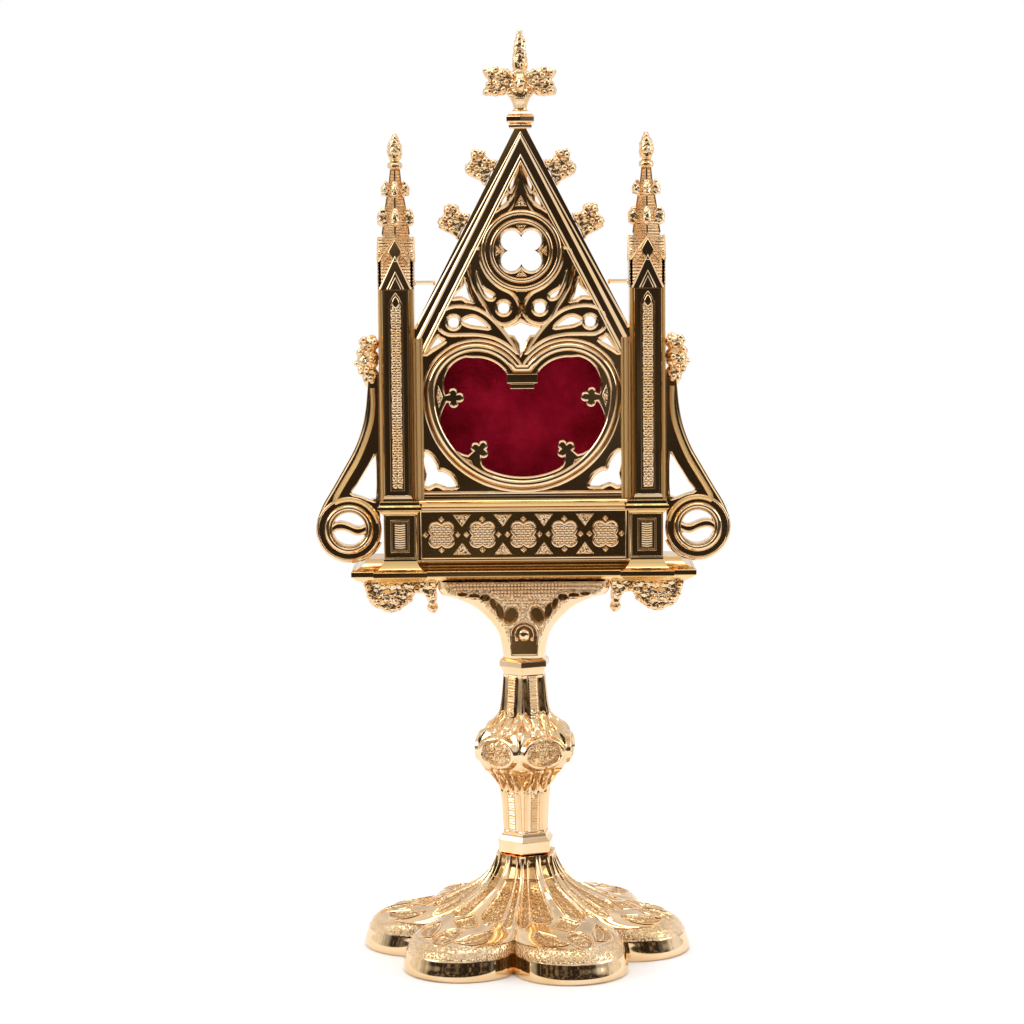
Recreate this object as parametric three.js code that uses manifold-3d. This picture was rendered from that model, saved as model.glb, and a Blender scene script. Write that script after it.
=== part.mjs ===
// A gothic altar reliquary in gilt brass: a six-lobed hollow foot, a hexagonal stem with a knop,
// a flared console, and a shrine front with tracery, pillars, pinnacles and volute wings around
// a glazed relic chamber lined with velvet. Millimetres, +Z up, the front faces -Y.
import * as THREE from 'three';
import { mergeVertices } from 'three/addons/utils/BufferGeometryUtils.js';
import Module from 'manifold-3d';

const wasm = await Module();
wasm.setup();

// Heights of the pieces that stand on one another
const footHeight = 34.3;
const footCollarHeight = 7.2;
const stemHeight = 56.3;
const headCollarHeight = 6;
const consoleHeight = 27.1;
const plinthHeight = 28.4;
const pillarHeight = 72.7;
const pinnacleHeight = 53.5;
const facadeHeight = 126.9;
const finialCollarHeight = 5.8;
const finialHeight = 28;

// Foot: six lobes, a thin wall and a polished upright rim
const footReach = 57.5;
const footLobeRadius = 19.9;
const footWall = 2;
const footRimHeight = 7.1;
const footShoulder = 4.2;
const footNeckRadius = 9.6;
const footTurn = -6.8;
const footMedallionLength = 9.4;
const footMedallionWidth = 7;
const footMedallionRelief = 0.6;

// Stem, knop and the two hexagonal collars, measured to their corners
const footCollarRadius = 10.4;
const headCollarRadius = 9.4;
const stemLowRadius = 8.3;
const stemHighRadius = 8;
const stemFluteDepth = 0.8;
const stemStripWidth = 3.5;
const knopRadius = 17.7;
const knopRise = 28.5;
const knopBand = 4;
const knopMedallionWidth = 11.8;
const knopMedallionHeight = 10.8;
const knopMedallionRelief = 1.5;

// Console: a bracket that flares from the stem to the plinth
const consoleNeckRadius = 7.3;
const consoleHalfWidth = 30;
const consoleHalfDepth = 9.5;
const consoleBeadRadius = 1.9;
const consoleTongueWidth = 7;
const consoleTongueRelief = 0.4;

// Plinth, its cornice and its two pedestals
const corniceHalfWidth = 54.5;
const corniceHalfDepth = 7;
const corniceProjection = 5;
const corniceHeight = 8.2;
const plinthHalfDepth = 8.5;
const pedestalCentre = 42.5;
const pedestalHalfWidth = 5.6;
const pedestalProjection = 2;
const pedestalCornice = 2;
const friezeHalfWidth = 35.1;
const friezeLow = 8.4;
const friezeHeight = 15.9;
const friezeDepth = 1.2;
const quatrefoilCount = 5;
const quatrefoilSpacing = 14.15;
const quatrefoilHalf = 4.5;
const cartoucheWidth = 6.6;
const cartoucheHeight = 11.4;
const corbelInner = 30;
const corbelOuter = 55;
const corbelDrop = 11.4;
const corbelThickness = 11;

// Shrine front: the plate, the rakes of its gable and its tracery
const facadeHalfWidth = 36.9;
const facadeFront = 7;
const facadeThickness = 3;
const rakeAngle = 27.3;
const rakeWidth = 7;
const mouldingRelief = 1.3;
const windowCentre = 36.8;
const windowRadius = 34.3;
const windowArchRadius = 18.5;
const windowBorder = 5.5;
const glassArcSteps = 3;
const cuspKnobRadius = 1.9;
const cuspKnobInset = 0.035;
const roundelCentre = 85.5;
const roundelRadius = 14;
const foilRadius = 3.55;
const foilSpread = 3.4;

// Relic chamber behind the window
const chamberDepth = 14;
const chamberWall = 1.6;
const glassThickness = 1.8;
const velvetThickness = 2;
const velvetSetback = 6.5;
const coverThickness = 1.5;
const coverLip = 2.5;
const fitClearance = 0.2;

// Pillars, pinnacles, wings and the ornament of the roof line
const pillarCentre = 43.1;
const pillarWidth = 12.4;
const buttressWidth = 9.25;
const buttressProjection = 3.3;
const gabletHeight = 10.5;
const pinnacleBaseHeight = 17.4;
const spireRadius = 4.5;
const pinnacleBudRadius = 2.6;
const rakeGap = 0.3;
const tieRodHeight = 1.5;
const tieRodThickness = 1.2;
const wingThickness = 5;
const wingBack = 0.5;
const wingReach = 71.7;
const wingTop = 41;
const voluteRadius = 11.4;
const voluteRim = 3.6;
const wingBand = 4.8;
const wingGap = 0.3;
const crocketThickness = 5;
const crocketHeight = 12.4;
const crocketReach = 6.8;
const crocketRises = [89.3, 107.5];
const finialCollarRadius = 5.5;
const finialStalkRadius = 2.2;
const finialSpan = 13.3;
const finialArmRise = 9.5;
const finialBudRadius = 2.6;

// Levels that follow from the heights
const footCollarLevel = footHeight;
const stemLevel = footCollarLevel + footCollarHeight;
const headCollarLevel = stemLevel + stemHeight;
const consoleLevel = headCollarLevel + headCollarHeight;
const plinthLevel = consoleLevel + consoleHeight;
const shrineLevel = plinthLevel + plinthHeight;
const finialCollarLevel = shrineLevel + facadeHeight;
const finialLevel = finialCollarLevel + finialCollarHeight;

const mergeTolerance = 1e-4;
const turn = Math.PI * 2;
const radians = (degrees) => degrees * Math.PI / 180;
const mix = (a, b, share) => a + (b - a) * share;

// Bodies from closed meshes

function signedVolume(geometry) {
  const flat = geometry.index ? geometry.toNonIndexed() : geometry;
  const position = flat.attributes.position;
  const a = new THREE.Vector3();
  const b = new THREE.Vector3();
  const c = new THREE.Vector3();
  let volume = 0;
  for (let i = 0; i < position.count; i += 3) {
    a.fromBufferAttribute(position, i);
    b.fromBufferAttribute(position, i + 1);
    c.fromBufferAttribute(position, i + 2);
    volume += a.dot(b.cross(c)) / 6;
  }
  return volume;
}

function toSolid(geometry) {
  const bare = geometry.clone();
  bare.deleteAttribute('normal');
  bare.deleteAttribute('uv');
  const merged = mergeVertices(bare, mergeTolerance);
  const corners = new Uint32Array(merged.index.array);
  if (signedVolume(merged) < 0) {
    for (let i = 0; i < corners.length; i += 3) {
      [corners[i], corners[i + 1]] = [corners[i + 1], corners[i]];
    }
  }
  const vertProperties = new Float32Array(merged.attributes.position.array);
  return new wasm.Manifold(new wasm.Mesh({ numProp: 3, vertProperties, triVerts: corners }));
}

function toGeometry(solid) {
  const mesh = solid.getMesh();
  const geometry = new THREE.BufferGeometry();
  geometry.setAttribute('position', new THREE.BufferAttribute(mesh.vertProperties, 3));
  geometry.setIndex(new THREE.BufferAttribute(mesh.triVerts, 1));
  geometry.computeVertexNormals();
  return geometry;
}

const join = (solids) => solids.reduce((whole, piece) => whole.add(piece));

// The same body under a matrix; a mirroring matrix turns its faces round again
function moved(solid, matrix) {
  const geometry = toGeometry(solid).applyMatrix4(matrix);
  const corners = new Uint32Array(geometry.index.array);
  if (matrix.determinant() < 0) {
    for (let i = 0; i < corners.length; i += 3) {
      [corners[i], corners[i + 1]] = [corners[i + 1], corners[i]];
    }
  }
  const vertProperties = new Float32Array(geometry.attributes.position.array);
  return new wasm.Manifold(new wasm.Mesh({ numProp: 3, vertProperties, triVerts: corners }));
}

const shifted = (solid, x, y, z) => moved(solid, new THREE.Matrix4().makeTranslation(x, y, z));
const spun = (solid, degrees) => moved(solid, new THREE.Matrix4().makeRotationZ(radians(degrees)));
const mirrored = (solid) => moved(solid, new THREE.Matrix4().makeScale(-1, 1, 1));
const bothSides = (solid) => solid.add(mirrored(solid));

// A body skinned over rings of points; the ends are capped, or joined where the rings close
function skin(rings, joined = false) {
  const count = rings[0].length;
  const positions = rings.flat().flatMap((point) => [point.x, point.y, point.z]);
  const index = [];
  const strips = joined ? rings.length : rings.length - 1;
  for (let i = 0; i < strips; i += 1) {
    const here = i * count;
    const next = ((i + 1) % rings.length) * count;
    for (let j = 0; j < count; j += 1) {
      const k = (j + 1) % count;
      index.push(here + j, here + k, next + k, here + j, next + k, next + j);
    }
  }
  if (!joined) {
    index.push(...capFaces(rings[0], 0, true));
    index.push(...capFaces(rings[rings.length - 1], (rings.length - 1) * count, false));
  }
  const geometry = new THREE.BufferGeometry();
  geometry.setAttribute('position', new THREE.Float32BufferAttribute(positions, 3));
  geometry.setIndex(index);
  return toSolid(geometry);
}

function capFaces(ring, start, reversed) {
  const box = new THREE.Box3().setFromPoints(ring);
  const size = box.getSize(new THREE.Vector3());
  const flat = ring.map((point) => (size.y < size.z
    ? new THREE.Vector2(point.x, point.z)
    : new THREE.Vector2(point.x, point.y)));
  const clockwise = THREE.ShapeUtils.isClockWise(flat);
  const order = flat.map((point, i) => i);
  if (clockwise) {
    order.reverse();
  }
  const faces = THREE.ShapeUtils.triangulateShape(order.map((i) => flat[i]), []);
  const outward = reversed !== clockwise;
  return faces.flatMap(([a, b, c]) => {
    const [p, q, r] = [start + order[a], start + order[b], start + order[c]];
    return outward ? [p, r, q] : [p, q, r];
  });
}

// A drawing in X and Z, given thickness along Y from front (toward the viewer) to back
function plate(shape, front, back, segments = 6) {
  const geometry = new THREE.ExtrudeGeometry(shape, {
    depth: back - front,
    bevelEnabled: false,
    curveSegments: segments,
  });
  geometry.rotateX(Math.PI / 2);
  geometry.translate(0, back, 0);
  return toSolid(geometry);
}

function drawn(points) {
  return new THREE.Shape(points.map(([x, z]) => new THREE.Vector2(x, z)));
}

function block(width, depth, height, x, y, z) {
  const geometry = new THREE.BoxGeometry(width, depth, height);
  geometry.translate(x, y, z + height / 2);
  return toSolid(geometry);
}

// A turned body: profile points are [radius, height] from bottom axis to top axis
function turned(profile, sides) {
  const points = profile.map(([radius, height]) => new THREE.Vector2(radius, height));
  const geometry = new THREE.LatheGeometry(points, sides);
  geometry.rotateX(Math.PI / 2);
  return toSolid(geometry);
}

function lump(radii, place, tilt = 0, Form = THREE.IcosahedronGeometry) {
  const geometry = new Form(1, 0);
  geometry.scale(radii[0], radii[1], radii[2]);
  geometry.rotateY(radians(tilt));
  geometry.translate(place[0], place[1], place[2]);
  return toSolid(geometry);
}

// Rings of a hexagonal moulding from [corner radius, height] levels
function hexRings(levels) {
  return levels.map(([radius, height]) => Array.from({ length: 6 }, (unused, i) => {
    const angle = (i + 0.5) * turn / 6;
    return new THREE.Vector3(radius * Math.cos(angle), radius * Math.sin(angle), height);
  }));
}

// Foot

const lobeCentre = footReach - footLobeRadius;
const lobeSteps = 8;

function lobedOutline(radius, lobing, fluting, inset, height) {
  const valleyTurn = radians(30) + Math.asin(lobeCentre * 0.5 / footLobeRadius);
  const points = [];
  for (let lobe = 0; lobe < 6; lobe += 1) {
    for (let i = 0; i < lobeSteps; i += 1) {
      const around = mix(-valleyTurn, valleyTurn, i / lobeSteps);
      const x = lobeCentre + footLobeRadius * Math.cos(around);
      const y = footLobeRadius * Math.sin(around);
      const angle = Math.atan2(y, x);
      const lobed = Math.hypot(x, y) / footReach;
      const hexagonal = 1 / Math.cos(angle);
      const valley = Math.pow(Math.abs(angle) / radians(30), 4);
      const flute = i % 2 === 0 ? 1 - fluting : 1 + fluting;
      const reach = radius * mix(hexagonal, lobed, lobing) * flute - inset * (1 + 2 * valley);
      const bearing = angle + lobe * turn / 6;
      points.push(new THREE.Vector3(reach * Math.cos(bearing), reach * Math.sin(bearing), height));
    }
  }
  return points;
}

// Crest line of a lobe from the rim to the neck: share of the way in, share of the rise, fluting
const footCrest = [
  [0, 0, 0], [0.25, 0.108, 0], [0.5, 0.233, 0.015], [0.69, 0.39, 0.03], [0.85, 0.57, 0.045],
  [0.95, 0.79, 0.035], [1, 1, 0],
];

function makeFoot() {
  const bottomEdge = 1.3;
  const rimLean = 1.5;
  const shoulderReach = footReach - rimLean - footShoulder;
  const shoulderTop = footRimHeight + footShoulder * 0.95;
  const crest = footCrest.map(([inward, upward, fluting]) => {
    const radius = mix(shoulderReach, footNeckRadius, inward);
    const lobing = Math.pow((radius - footNeckRadius) / (footReach - footNeckRadius), 0.55);
    return { radius, height: mix(shoulderTop, footHeight, upward), lobing, fluting };
  });
  const outside = [
    lobedOutline(footReach - bottomEdge, 1, 0, 0, 0),
    lobedOutline(footReach, 1, 0, 0, bottomEdge),
    lobedOutline(footReach - rimLean, 1, 0, 0, footRimHeight),
    ...crest.map((ring) => lobedOutline(ring.radius, ring.lobing, ring.fluting, 0, ring.height)),
  ];
  const hollowTop = footHeight - 3 * footWall;
  const inner = crest.filter((ring, i) => i % 2 === 1 && ring.height < hollowTop);
  const inside = [
    lobedOutline(footReach - bottomEdge, 1, 0, footWall, -1),
    lobedOutline(footReach - rimLean, 1, 0, footWall, footRimHeight - footWall / 2),
    ...inner.map((ring) => lobedOutline(ring.radius, ring.lobing, 0, footWall / 2, ring.height - footWall)),
    lobedOutline(footNeckRadius - footWall, 0, 0, 0, hollowTop),
  ];
  return join([skin(outside), ...makeFootMedallions(crest)]).subtract(skin(inside));
}

function makeFootMedallions(crest) {
  const [outer, inner] = [crest[0], crest[1]];
  const share = 0.42;
  const slope = Math.atan2(inner.height - outer.height, outer.radius - inner.radius);
  const geometry = new THREE.CylinderGeometry(1, 1, 1, 8);
  geometry.rotateX(Math.PI / 2);
  geometry.scale(footMedallionLength / 2, footMedallionWidth / 2, 2 * footMedallionRelief);
  geometry.rotateY(slope);
  geometry.translate(mix(outer.radius, inner.radius, share), 0, mix(outer.height, inner.height, share));
  const medallion = toSolid(geometry);
  return Array.from({ length: 6 }, (unused, i) => spun(medallion, i * 60));
}

// Collars and stem

function makeFootCollar() {
  const groove = 0.9;
  const bevel = 2.5;
  return skin(hexRings([
    [footCollarRadius - groove, 0],
    [footCollarRadius, groove],
    [footCollarRadius, footCollarHeight - bevel],
    [stemLowRadius + 0.7, footCollarHeight],
  ]));
}

function makeHeadCollar() {
  const fillet = 1.3;
  return skin(hexRings([
    [stemHighRadius, 0],
    [stemHighRadius + 0.4, headCollarHeight * 0.25],
    [headCollarRadius, headCollarHeight * 0.45],
    [headCollarRadius, headCollarHeight - fillet],
    [consoleNeckRadius + 0.6, headCollarHeight],
  ]));
}

// A hexagonal ring whose faces have a raised strip between two flutes
function stemRing(radius, height, fluteDepth) {
  const halfSide = radius / 2;
  const apothem = radius * Math.cos(radians(30));
  const strip = Math.min(stemStripWidth / 2, halfSide * 0.45);
  const flute = mix(strip, halfSide, 0.4);
  const across = [
    [-halfSide, apothem], [-flute, apothem - fluteDepth], [-strip, apothem],
    [strip, apothem], [flute, apothem - fluteDepth],
  ];
  const ring = [];
  for (let side = 0; side < 6; side += 1) {
    const bearing = side * turn / 6;
    for (const [along, out] of across) {
      const x = out * Math.cos(bearing) - along * Math.sin(bearing);
      const y = out * Math.sin(bearing) + along * Math.cos(bearing);
      ring.push(new THREE.Vector3(x, y, height));
    }
  }
  return ring;
}

function makeStem() {
  const above = stemHeight - knopRise - knopBand;
  const levels = [
    [stemLowRadius, 0, stemFluteDepth],
    [mix(stemLowRadius, knopRadius, 0.08), knopRise * 0.42, stemFluteDepth],
    [mix(stemLowRadius, knopRadius, 0.2), knopRise * 0.6, stemFluteDepth * 0.6],
    [mix(stemLowRadius, knopRadius, 0.5), knopRise * 0.74, 0.2],
    [mix(stemLowRadius, knopRadius, 0.8), knopRise * 0.82, 0],
    [knopRadius, knopRise, 0],
    [knopRadius, knopRise + knopBand, 0],
    [mix(knopRadius, stemHighRadius, 0.12), knopRise + knopBand + above * 0.13, 0],
    [mix(knopRadius, stemHighRadius, 0.5), knopRise + knopBand + above * 0.28, 0.2],
    [mix(knopRadius, stemHighRadius, 0.92), knopRise + knopBand + above * 0.6, stemFluteDepth],
    [stemHighRadius, stemHeight, stemFluteDepth],
  ];
  const body = skin(levels.map(([radius, height, flute]) => stemRing(radius, height, flute)));
  return join([body, ...makeKnopMedallions()]);
}

function makeKnopMedallions() {
  const face = knopRadius * Math.cos(radians(30));
  const sunk = 1;
  const bezel = 0.8;
  const sides = 8;
  const oval = (inset) => Array.from({ length: sides }, (unused, i) => {
    const angle = i * turn / sides;
    const across = (knopMedallionWidth / 2 - inset) * Math.cos(angle);
    const up = (knopMedallionHeight / 2 - inset) * Math.sin(angle);
    return [across, up];
  });
  const ring = (inset, out) => oval(inset).map(([across, up]) => (
    new THREE.Vector3(across, out, knopRise + knopBand / 2 + up)));
  const medallion = skin([
    ring(0, -(face - 3 * sunk)),
    ring(bezel / 2, -(face + knopMedallionRelief)),
    ring(bezel * 1.8, -(face + knopMedallionRelief * 0.5)),
  ]);
  return Array.from({ length: 6 }, (unused, i) => spun(medallion, 90 + i * 60));
}

// Console

function makeConsole() {
  const steps = 18;
  // Share of the rise, share of the flare, squareness and leaf relief
  const levels = [
    [0, 0, 2, 0], [0.2, 0.035, 2.2, 0.03], [0.34, 0.09, 2.4, 0.06], [0.46, 0.19, 2.6, 0.07],
    [0.585, 0.33, 3, 0.07], [0.65, 0.44, 3.4, 0.06], [0.72, 0.57, 4, 0.05],
    [0.785, 0.76, 5, 0.03], [0.86, 0.96, 8, 0], [1, 1, 9, 0],
  ];
  const rings = levels.map(([rise, flare, power, leaf]) => {
    const halfWidth = mix(consoleNeckRadius, consoleHalfWidth, flare);
    const halfDepth = mix(consoleNeckRadius, consoleHalfDepth, Math.sqrt(flare));
    return Array.from({ length: steps }, (unused, i) => {
      const angle = (i + 0.5) * turn / steps;
      const ripple = i % 2 === 0 ? 1 - leaf : 1 + leaf;
      const x = Math.sign(Math.cos(angle)) * Math.pow(Math.abs(Math.cos(angle)), 2 / power);
      const y = Math.sign(Math.sin(angle)) * Math.pow(Math.abs(Math.sin(angle)), 2 / power);
      return new THREE.Vector3(halfWidth * x, halfDepth * y * ripple, consoleHeight * rise);
    });
  });
  const half = consoleTongueWidth / 2;
  const low = consoleHeight * 0.12;
  const high = consoleHeight * 0.62;
  const tongue = new THREE.Shape();
  tongue.moveTo(0, low);
  tongue.quadraticCurveTo(half * 1.4, mix(low, high, 0.45), half, high);
  tongue.lineTo(0, high + half);
  tongue.lineTo(-half, high);
  tongue.quadraticCurveTo(-half * 1.4, mix(low, high, 0.45), 0, low);
  const front = -(consoleHalfDepth + consoleTongueRelief);
  const beadHeight = consoleHeight * 0.33;
  const bead = lump([consoleBeadRadius, consoleBeadRadius, consoleBeadRadius * 1.2],
    [0, front, beadHeight]);
  return join([skin(rings), plate(tongue, front, 0, 4), bead]);
}

// Plinth with cornice, pedestals and frieze

// A rectangular block with one moulded profile, [height, projection], on all four sides
function mouldedBlock(centre, halfWidth, halfDepth, profile) {
  return skin(profile.map(([height, projection]) => {
    const x = halfWidth + projection;
    const y = halfDepth + projection;
    return [[x, y], [-x, y], [-x, -y], [x, -y]].map(([px, py]) => (
      new THREE.Vector3(centre + px, py, height)));
  }));
}

const quatrefoilLevel = friezeLow + friezeHeight / 2;

function quatrefoilShape(x, z, half) {
  const shape = new THREE.Shape();
  const lobe = half * 0.53;
  for (let i = 0; i < 4; i += 1) {
    const angle = (i + 0.5) * turn / 4;
    const spread = (half - lobe) * Math.SQRT2;
    const cx = x + spread * Math.cos(angle);
    const cz = z + spread * Math.sin(angle);
    shape.absarc(cx, cz, lobe, angle - turn * 0.27, angle + turn * 0.27, false);
  }
  shape.closePath();
  return shape;
}

function makePlinth() {
  const top = plinthHeight;
  const fillet = [corniceHeight * 0.28, corniceHeight * 0.49];
  const low = [
    [0, corniceProjection * 0.25], [fillet[0], corniceProjection], [fillet[1], corniceProjection],
    [corniceHeight * 0.94, 0.4], [corniceHeight, 0],
  ];
  const high = [
    [top - 3.6, 0], [top - 2.2, 1.2], [top - 1.8, 2.2], [top - 0.7, 2.2], [top, 1.2],
  ];
  const pedestalDepth = plinthHalfDepth + pedestalProjection;
  const pedestal = mouldedBlock(pedestalCentre, pedestalHalfWidth, pedestalDepth, [
    [0.6, 2.2], [fillet[0], 3.7], [fillet[1], 3.7], [corniceHeight * 0.9, 0.4],
    [corniceHeight + 0.2, 0], [top - 4.6, 0], [top - 3.2, 1.3],
    [top - 2.8, pedestalCornice], [top - 1.6, pedestalCornice], [top, 1.2],
  ]);
  const body = join([
    mouldedBlock(0, corniceHalfWidth, corniceHalfDepth, low),
    mouldedBlock(0, pedestalCentre, plinthHalfDepth, [[fillet[1], 0], ...high]),
    bothSides(pedestal),
  ]);
  const panel = block(2 * friezeHalfWidth, 2 * friezeDepth, friezeHeight,
    0, -plinthHalfDepth, friezeLow);
  return join([body.subtract(panel), ...makeFriezeOrnament(), bothSides(makeCartouche()),
    ...makeCorbelLeaves()]);
}

function makeFriezeOrnament() {
  const front = -plinthHalfDepth;
  const back = front + friezeDepth * 1.5;
  const pieces = [];
  for (let i = 0; i < quatrefoilCount; i += 1) {
    const x = (i - (quatrefoilCount - 1) / 2) * quatrefoilSpacing;
    pieces.push(plate(quatrefoilShape(x, quatrefoilLevel, quatrefoilHalf), front, back, 2));
  }
  const tall = friezeHeight * 0.27;
  const edge = friezeHeight * 0.06;
  for (let i = 0; i <= quatrefoilCount; i += 1) {
    const x = (i - quatrefoilCount / 2) * quatrefoilSpacing;
    const half = quatrefoilSpacing * 0.2;
    if (Math.abs(x) + half > friezeHalfWidth) {
      continue;
    }
    for (const side of [-1, 1]) {
      const rim = quatrefoilLevel + side * (friezeHeight / 2 - edge);
      const tip = rim - side * tall;
      pieces.push(plate(drawn([[x - half, rim], [x, tip], [x + half, rim]]), front, back));
    }
  }
  return pieces;
}

function makeCartouche() {
  const front = -(plinthHalfDepth + pedestalProjection);
  const relief = 0.7;
  const middle = quatrefoilLevel;
  const frame = block(cartoucheWidth, 2 * relief, cartoucheHeight,
    pedestalCentre, front, middle - cartoucheHeight / 2);
  const inner = block(cartoucheWidth * 0.62, 2, cartoucheHeight * 0.74,
    pedestalCentre, front - 1, middle - cartoucheHeight * 0.37);
  return frame.subtract(shifted(inner, 0, relief * 0.6, 0));
}

// Leaf scrolls that hang under the two ends of the cornice
function makeCorbelLeaves() {
  const width = corbelOuter - corbelInner;
  const across = (share) => corbelInner + width * share;
  const down = (share) => -corbelDrop * share;
  const shape = new THREE.Shape();
  shape.moveTo(across(0.02), 1);
  shape.lineTo(across(0.98), 1);
  shape.quadraticCurveTo(across(1.02), down(0.45), across(0.88), down(0.72));
  shape.quadraticCurveTo(across(0.78), down(0.95), across(0.6), down(1));
  shape.quadraticCurveTo(across(0.46), down(0.95), across(0.36), down(0.65));
  shape.quadraticCurveTo(across(0.24), down(0.5), across(0.14), down(0.8));
  shape.lineTo(across(0.06), down(0.72));
  shape.quadraticCurveTo(across(0.08), down(0.35), across(0.02), 1);
  const leaf = plate(shape, -corbelThickness / 2, corbelThickness / 2, 3);
  const ball = lump([1.9, 1.9, 1.9], [across(0.08), 0, down(0.88)]);
  const curl = lump([5, corbelThickness * 0.56, 3.4], [across(0.64), 0, down(0.62)], 20);
  return [bothSides(join([leaf, ball, curl]))];
}

// Shrine front

const rakeSlope = Math.tan(radians(rakeAngle));
const gableApex = facadeHeight + 3.9;
const rakeHalf = (height, inset) => (gableApex - height) * rakeSlope - inset / Math.cos(radians(rakeAngle));

// The window outline drawn inward by an inset: two arches over one wide circle
function windowOutline(inset) {
  const low = windowRadius - inset;
  const arch = windowArchRadius - inset;
  const offset = windowRadius - windowArchRadius;
  const valley = Math.acos(offset / windowArchRadius);
  const points = [];
  const arc = (cx, radius, from, to, count) => {
    for (let i = 0; i < count; i += 1) {
      const angle = mix(from, to, i / count);
      points.push([cx + radius * Math.cos(angle), windowCentre + radius * Math.sin(angle)]);
    }
  };
  arc(0, low, Math.PI, 2 * Math.PI, 12);
  arc(offset, arch, 0, Math.PI - valley, 5);
  arc(-offset, arch, valley, Math.PI, 5);
  return points;
}

const atDepth = (points, y) => points.map(([x, z]) => new THREE.Vector3(x, y, z));

// A moulding swept round a closed outline; its section is [inset, y]
function sweptRing(outline, section) {
  return skin(section.map(([inset, y]) => atDepth(outline(inset), y)), true);
}

// A place on the front in shares of the window's radius, from the window's centre
const inWindow = (x, z) => [x * windowRadius, windowCentre + z * windowRadius];

// The glazed opening: two upper lobes, two side lobes and a wide sill lobe between cusps.
// Each arc is [x, z, radius, from, to], its first three as shares of the window's radius.
const glassArcs = [
  [0.461, -0.02, 0.385, 140, 86],
  [0.507, 0.09, 0.286, 78, -28],
  [0.417, -0.321, 0.411, 42, -72],
  [0.321, -0.703, 0.117, 20, -50],
];
const glassCusps = [[0.668, -0.041], [0.423, -0.563]];
const glassBlock = [[0.146, 0.201], [0.146, 0.102], [0.111, 0.102], [0.111, 0.05]];

function glassOutline() {
  const arcAt = (side, [x, z, radius, from, to]) => {
    const curve = new THREE.EllipseCurve(x * windowRadius, windowCentre + z * windowRadius,
      radius * windowRadius, radius * windowRadius, radians(from), radians(to), from > to);
    return curve.getPoints(glassArcSteps).map((point) => [side * point.x, point.y]);
  };
  const sill = 1 - windowBorder * 0.93 / windowRadius;
  const half = (side) => [
    ...glassBlock.map(([x, z]) => inWindow(side * x, z)).reverse(),
    ...arcAt(side, glassArcs[0]),
    ...arcAt(side, glassArcs[1]),
    inWindow(side * glassCusps[0][0], glassCusps[0][1]),
    ...arcAt(side, glassArcs[2]),
    inWindow(side * glassCusps[1][0], glassCusps[1][1]),
    ...arcAt(side, glassArcs[3]),
    ...arcAt(side, [0, 0, sill, -66, -86]),
  ];
  return drawn([...half(1), ...half(-1).reverse()]);
}

// A drop-shaped opening: a round end and a tip joined to it by tangents
function dropShape(tip, centre, radius) {
  const away = Math.atan2(centre[1] - tip[1], centre[0] - tip[0]);
  const distance = Math.hypot(centre[0] - tip[0], centre[1] - tip[1]);
  const spread = Math.acos(radius / distance);
  const shape = new THREE.Shape();
  shape.moveTo(tip[0], tip[1]);
  shape.absarc(centre[0], centre[1], radius, away + Math.PI + spread, away + Math.PI - spread + turn, false);
  shape.closePath();
  return shape;
}

function roundShape(x, z, radius) {
  const shape = new THREE.Shape();
  shape.absarc(x, z, radius, 0, turn, false);
  return shape;
}

// An opening whose sides each carry a cusp pointing inward
function cuspedShape(corners, cusp) {
  const centre = corners.reduce(([x, z], [cx, cz]) => (
    [x + cx / corners.length, z + cz / corners.length]), [0, 0]);
  const shape = new THREE.Shape();
  shape.moveTo(corners[0][0], corners[0][1]);
  corners.forEach((from, i) => {
    const to = corners[(i + 1) % corners.length];
    const middle = [mix(from[0], to[0], 0.5), mix(from[1], to[1], 0.5)];
    const tip = [mix(middle[0], centre[0], cusp), mix(middle[1], centre[1], cusp)];
    shape.quadraticCurveTo(mix(from[0], to[0], 0.3), mix(from[1], to[1], 0.3), tip[0], tip[1]);
    shape.quadraticCurveTo(mix(from[0], to[0], 0.7), mix(from[1], to[1], 0.7), to[0], to[1]);
  });
  return shape;
}

// A place on the front in shares of the roundel's radius, from the roundel's centre
const inRoundel = (x, z) => [x * roundelRadius, roundelCentre + z * roundelRadius];

// Tracery openings of the right half
function traceryOpenings() {
  return [
    dropShape(inRoundel(1.086, -0.5), inRoundel(0.807, -1.043), 0.164 * roundelRadius),
    roundShape(...inRoundel(0.443, -1.393), 0.179 * roundelRadius),
    dropShape(inWindow(0.297, 0.621), inWindow(0.513, 0.711), 0.061 * windowRadius),
    roundShape(...inWindow(0.682, 0.706), 0.07 * windowRadius),
    cuspedShape([inRoundel(1.393, -0.664), inRoundel(1.157, -1.229), inRoundel(1.714, -1.186)], 0.3),
    drawn([inWindow(0.793, 0.536), inWindow(0.875, 0.507), inWindow(0.95, 0.356)]),
    cuspedShape([inWindow(1.009, -0.586), inWindow(1.009, -0.965), inWindow(0.647, -0.965)], 0.22),
    drawn([inRoundel(0.057, 2), inRoundel(0.257, 1.5), inRoundel(0.243, 1.314), inRoundel(0.086, 1.536)]),
    drawn([inRoundel(0.336, 1.35), inRoundel(0.529, 1.029), inRoundel(0.321, 1.114), inRoundel(0.3, 1.243)]),
  ];
}

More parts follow.
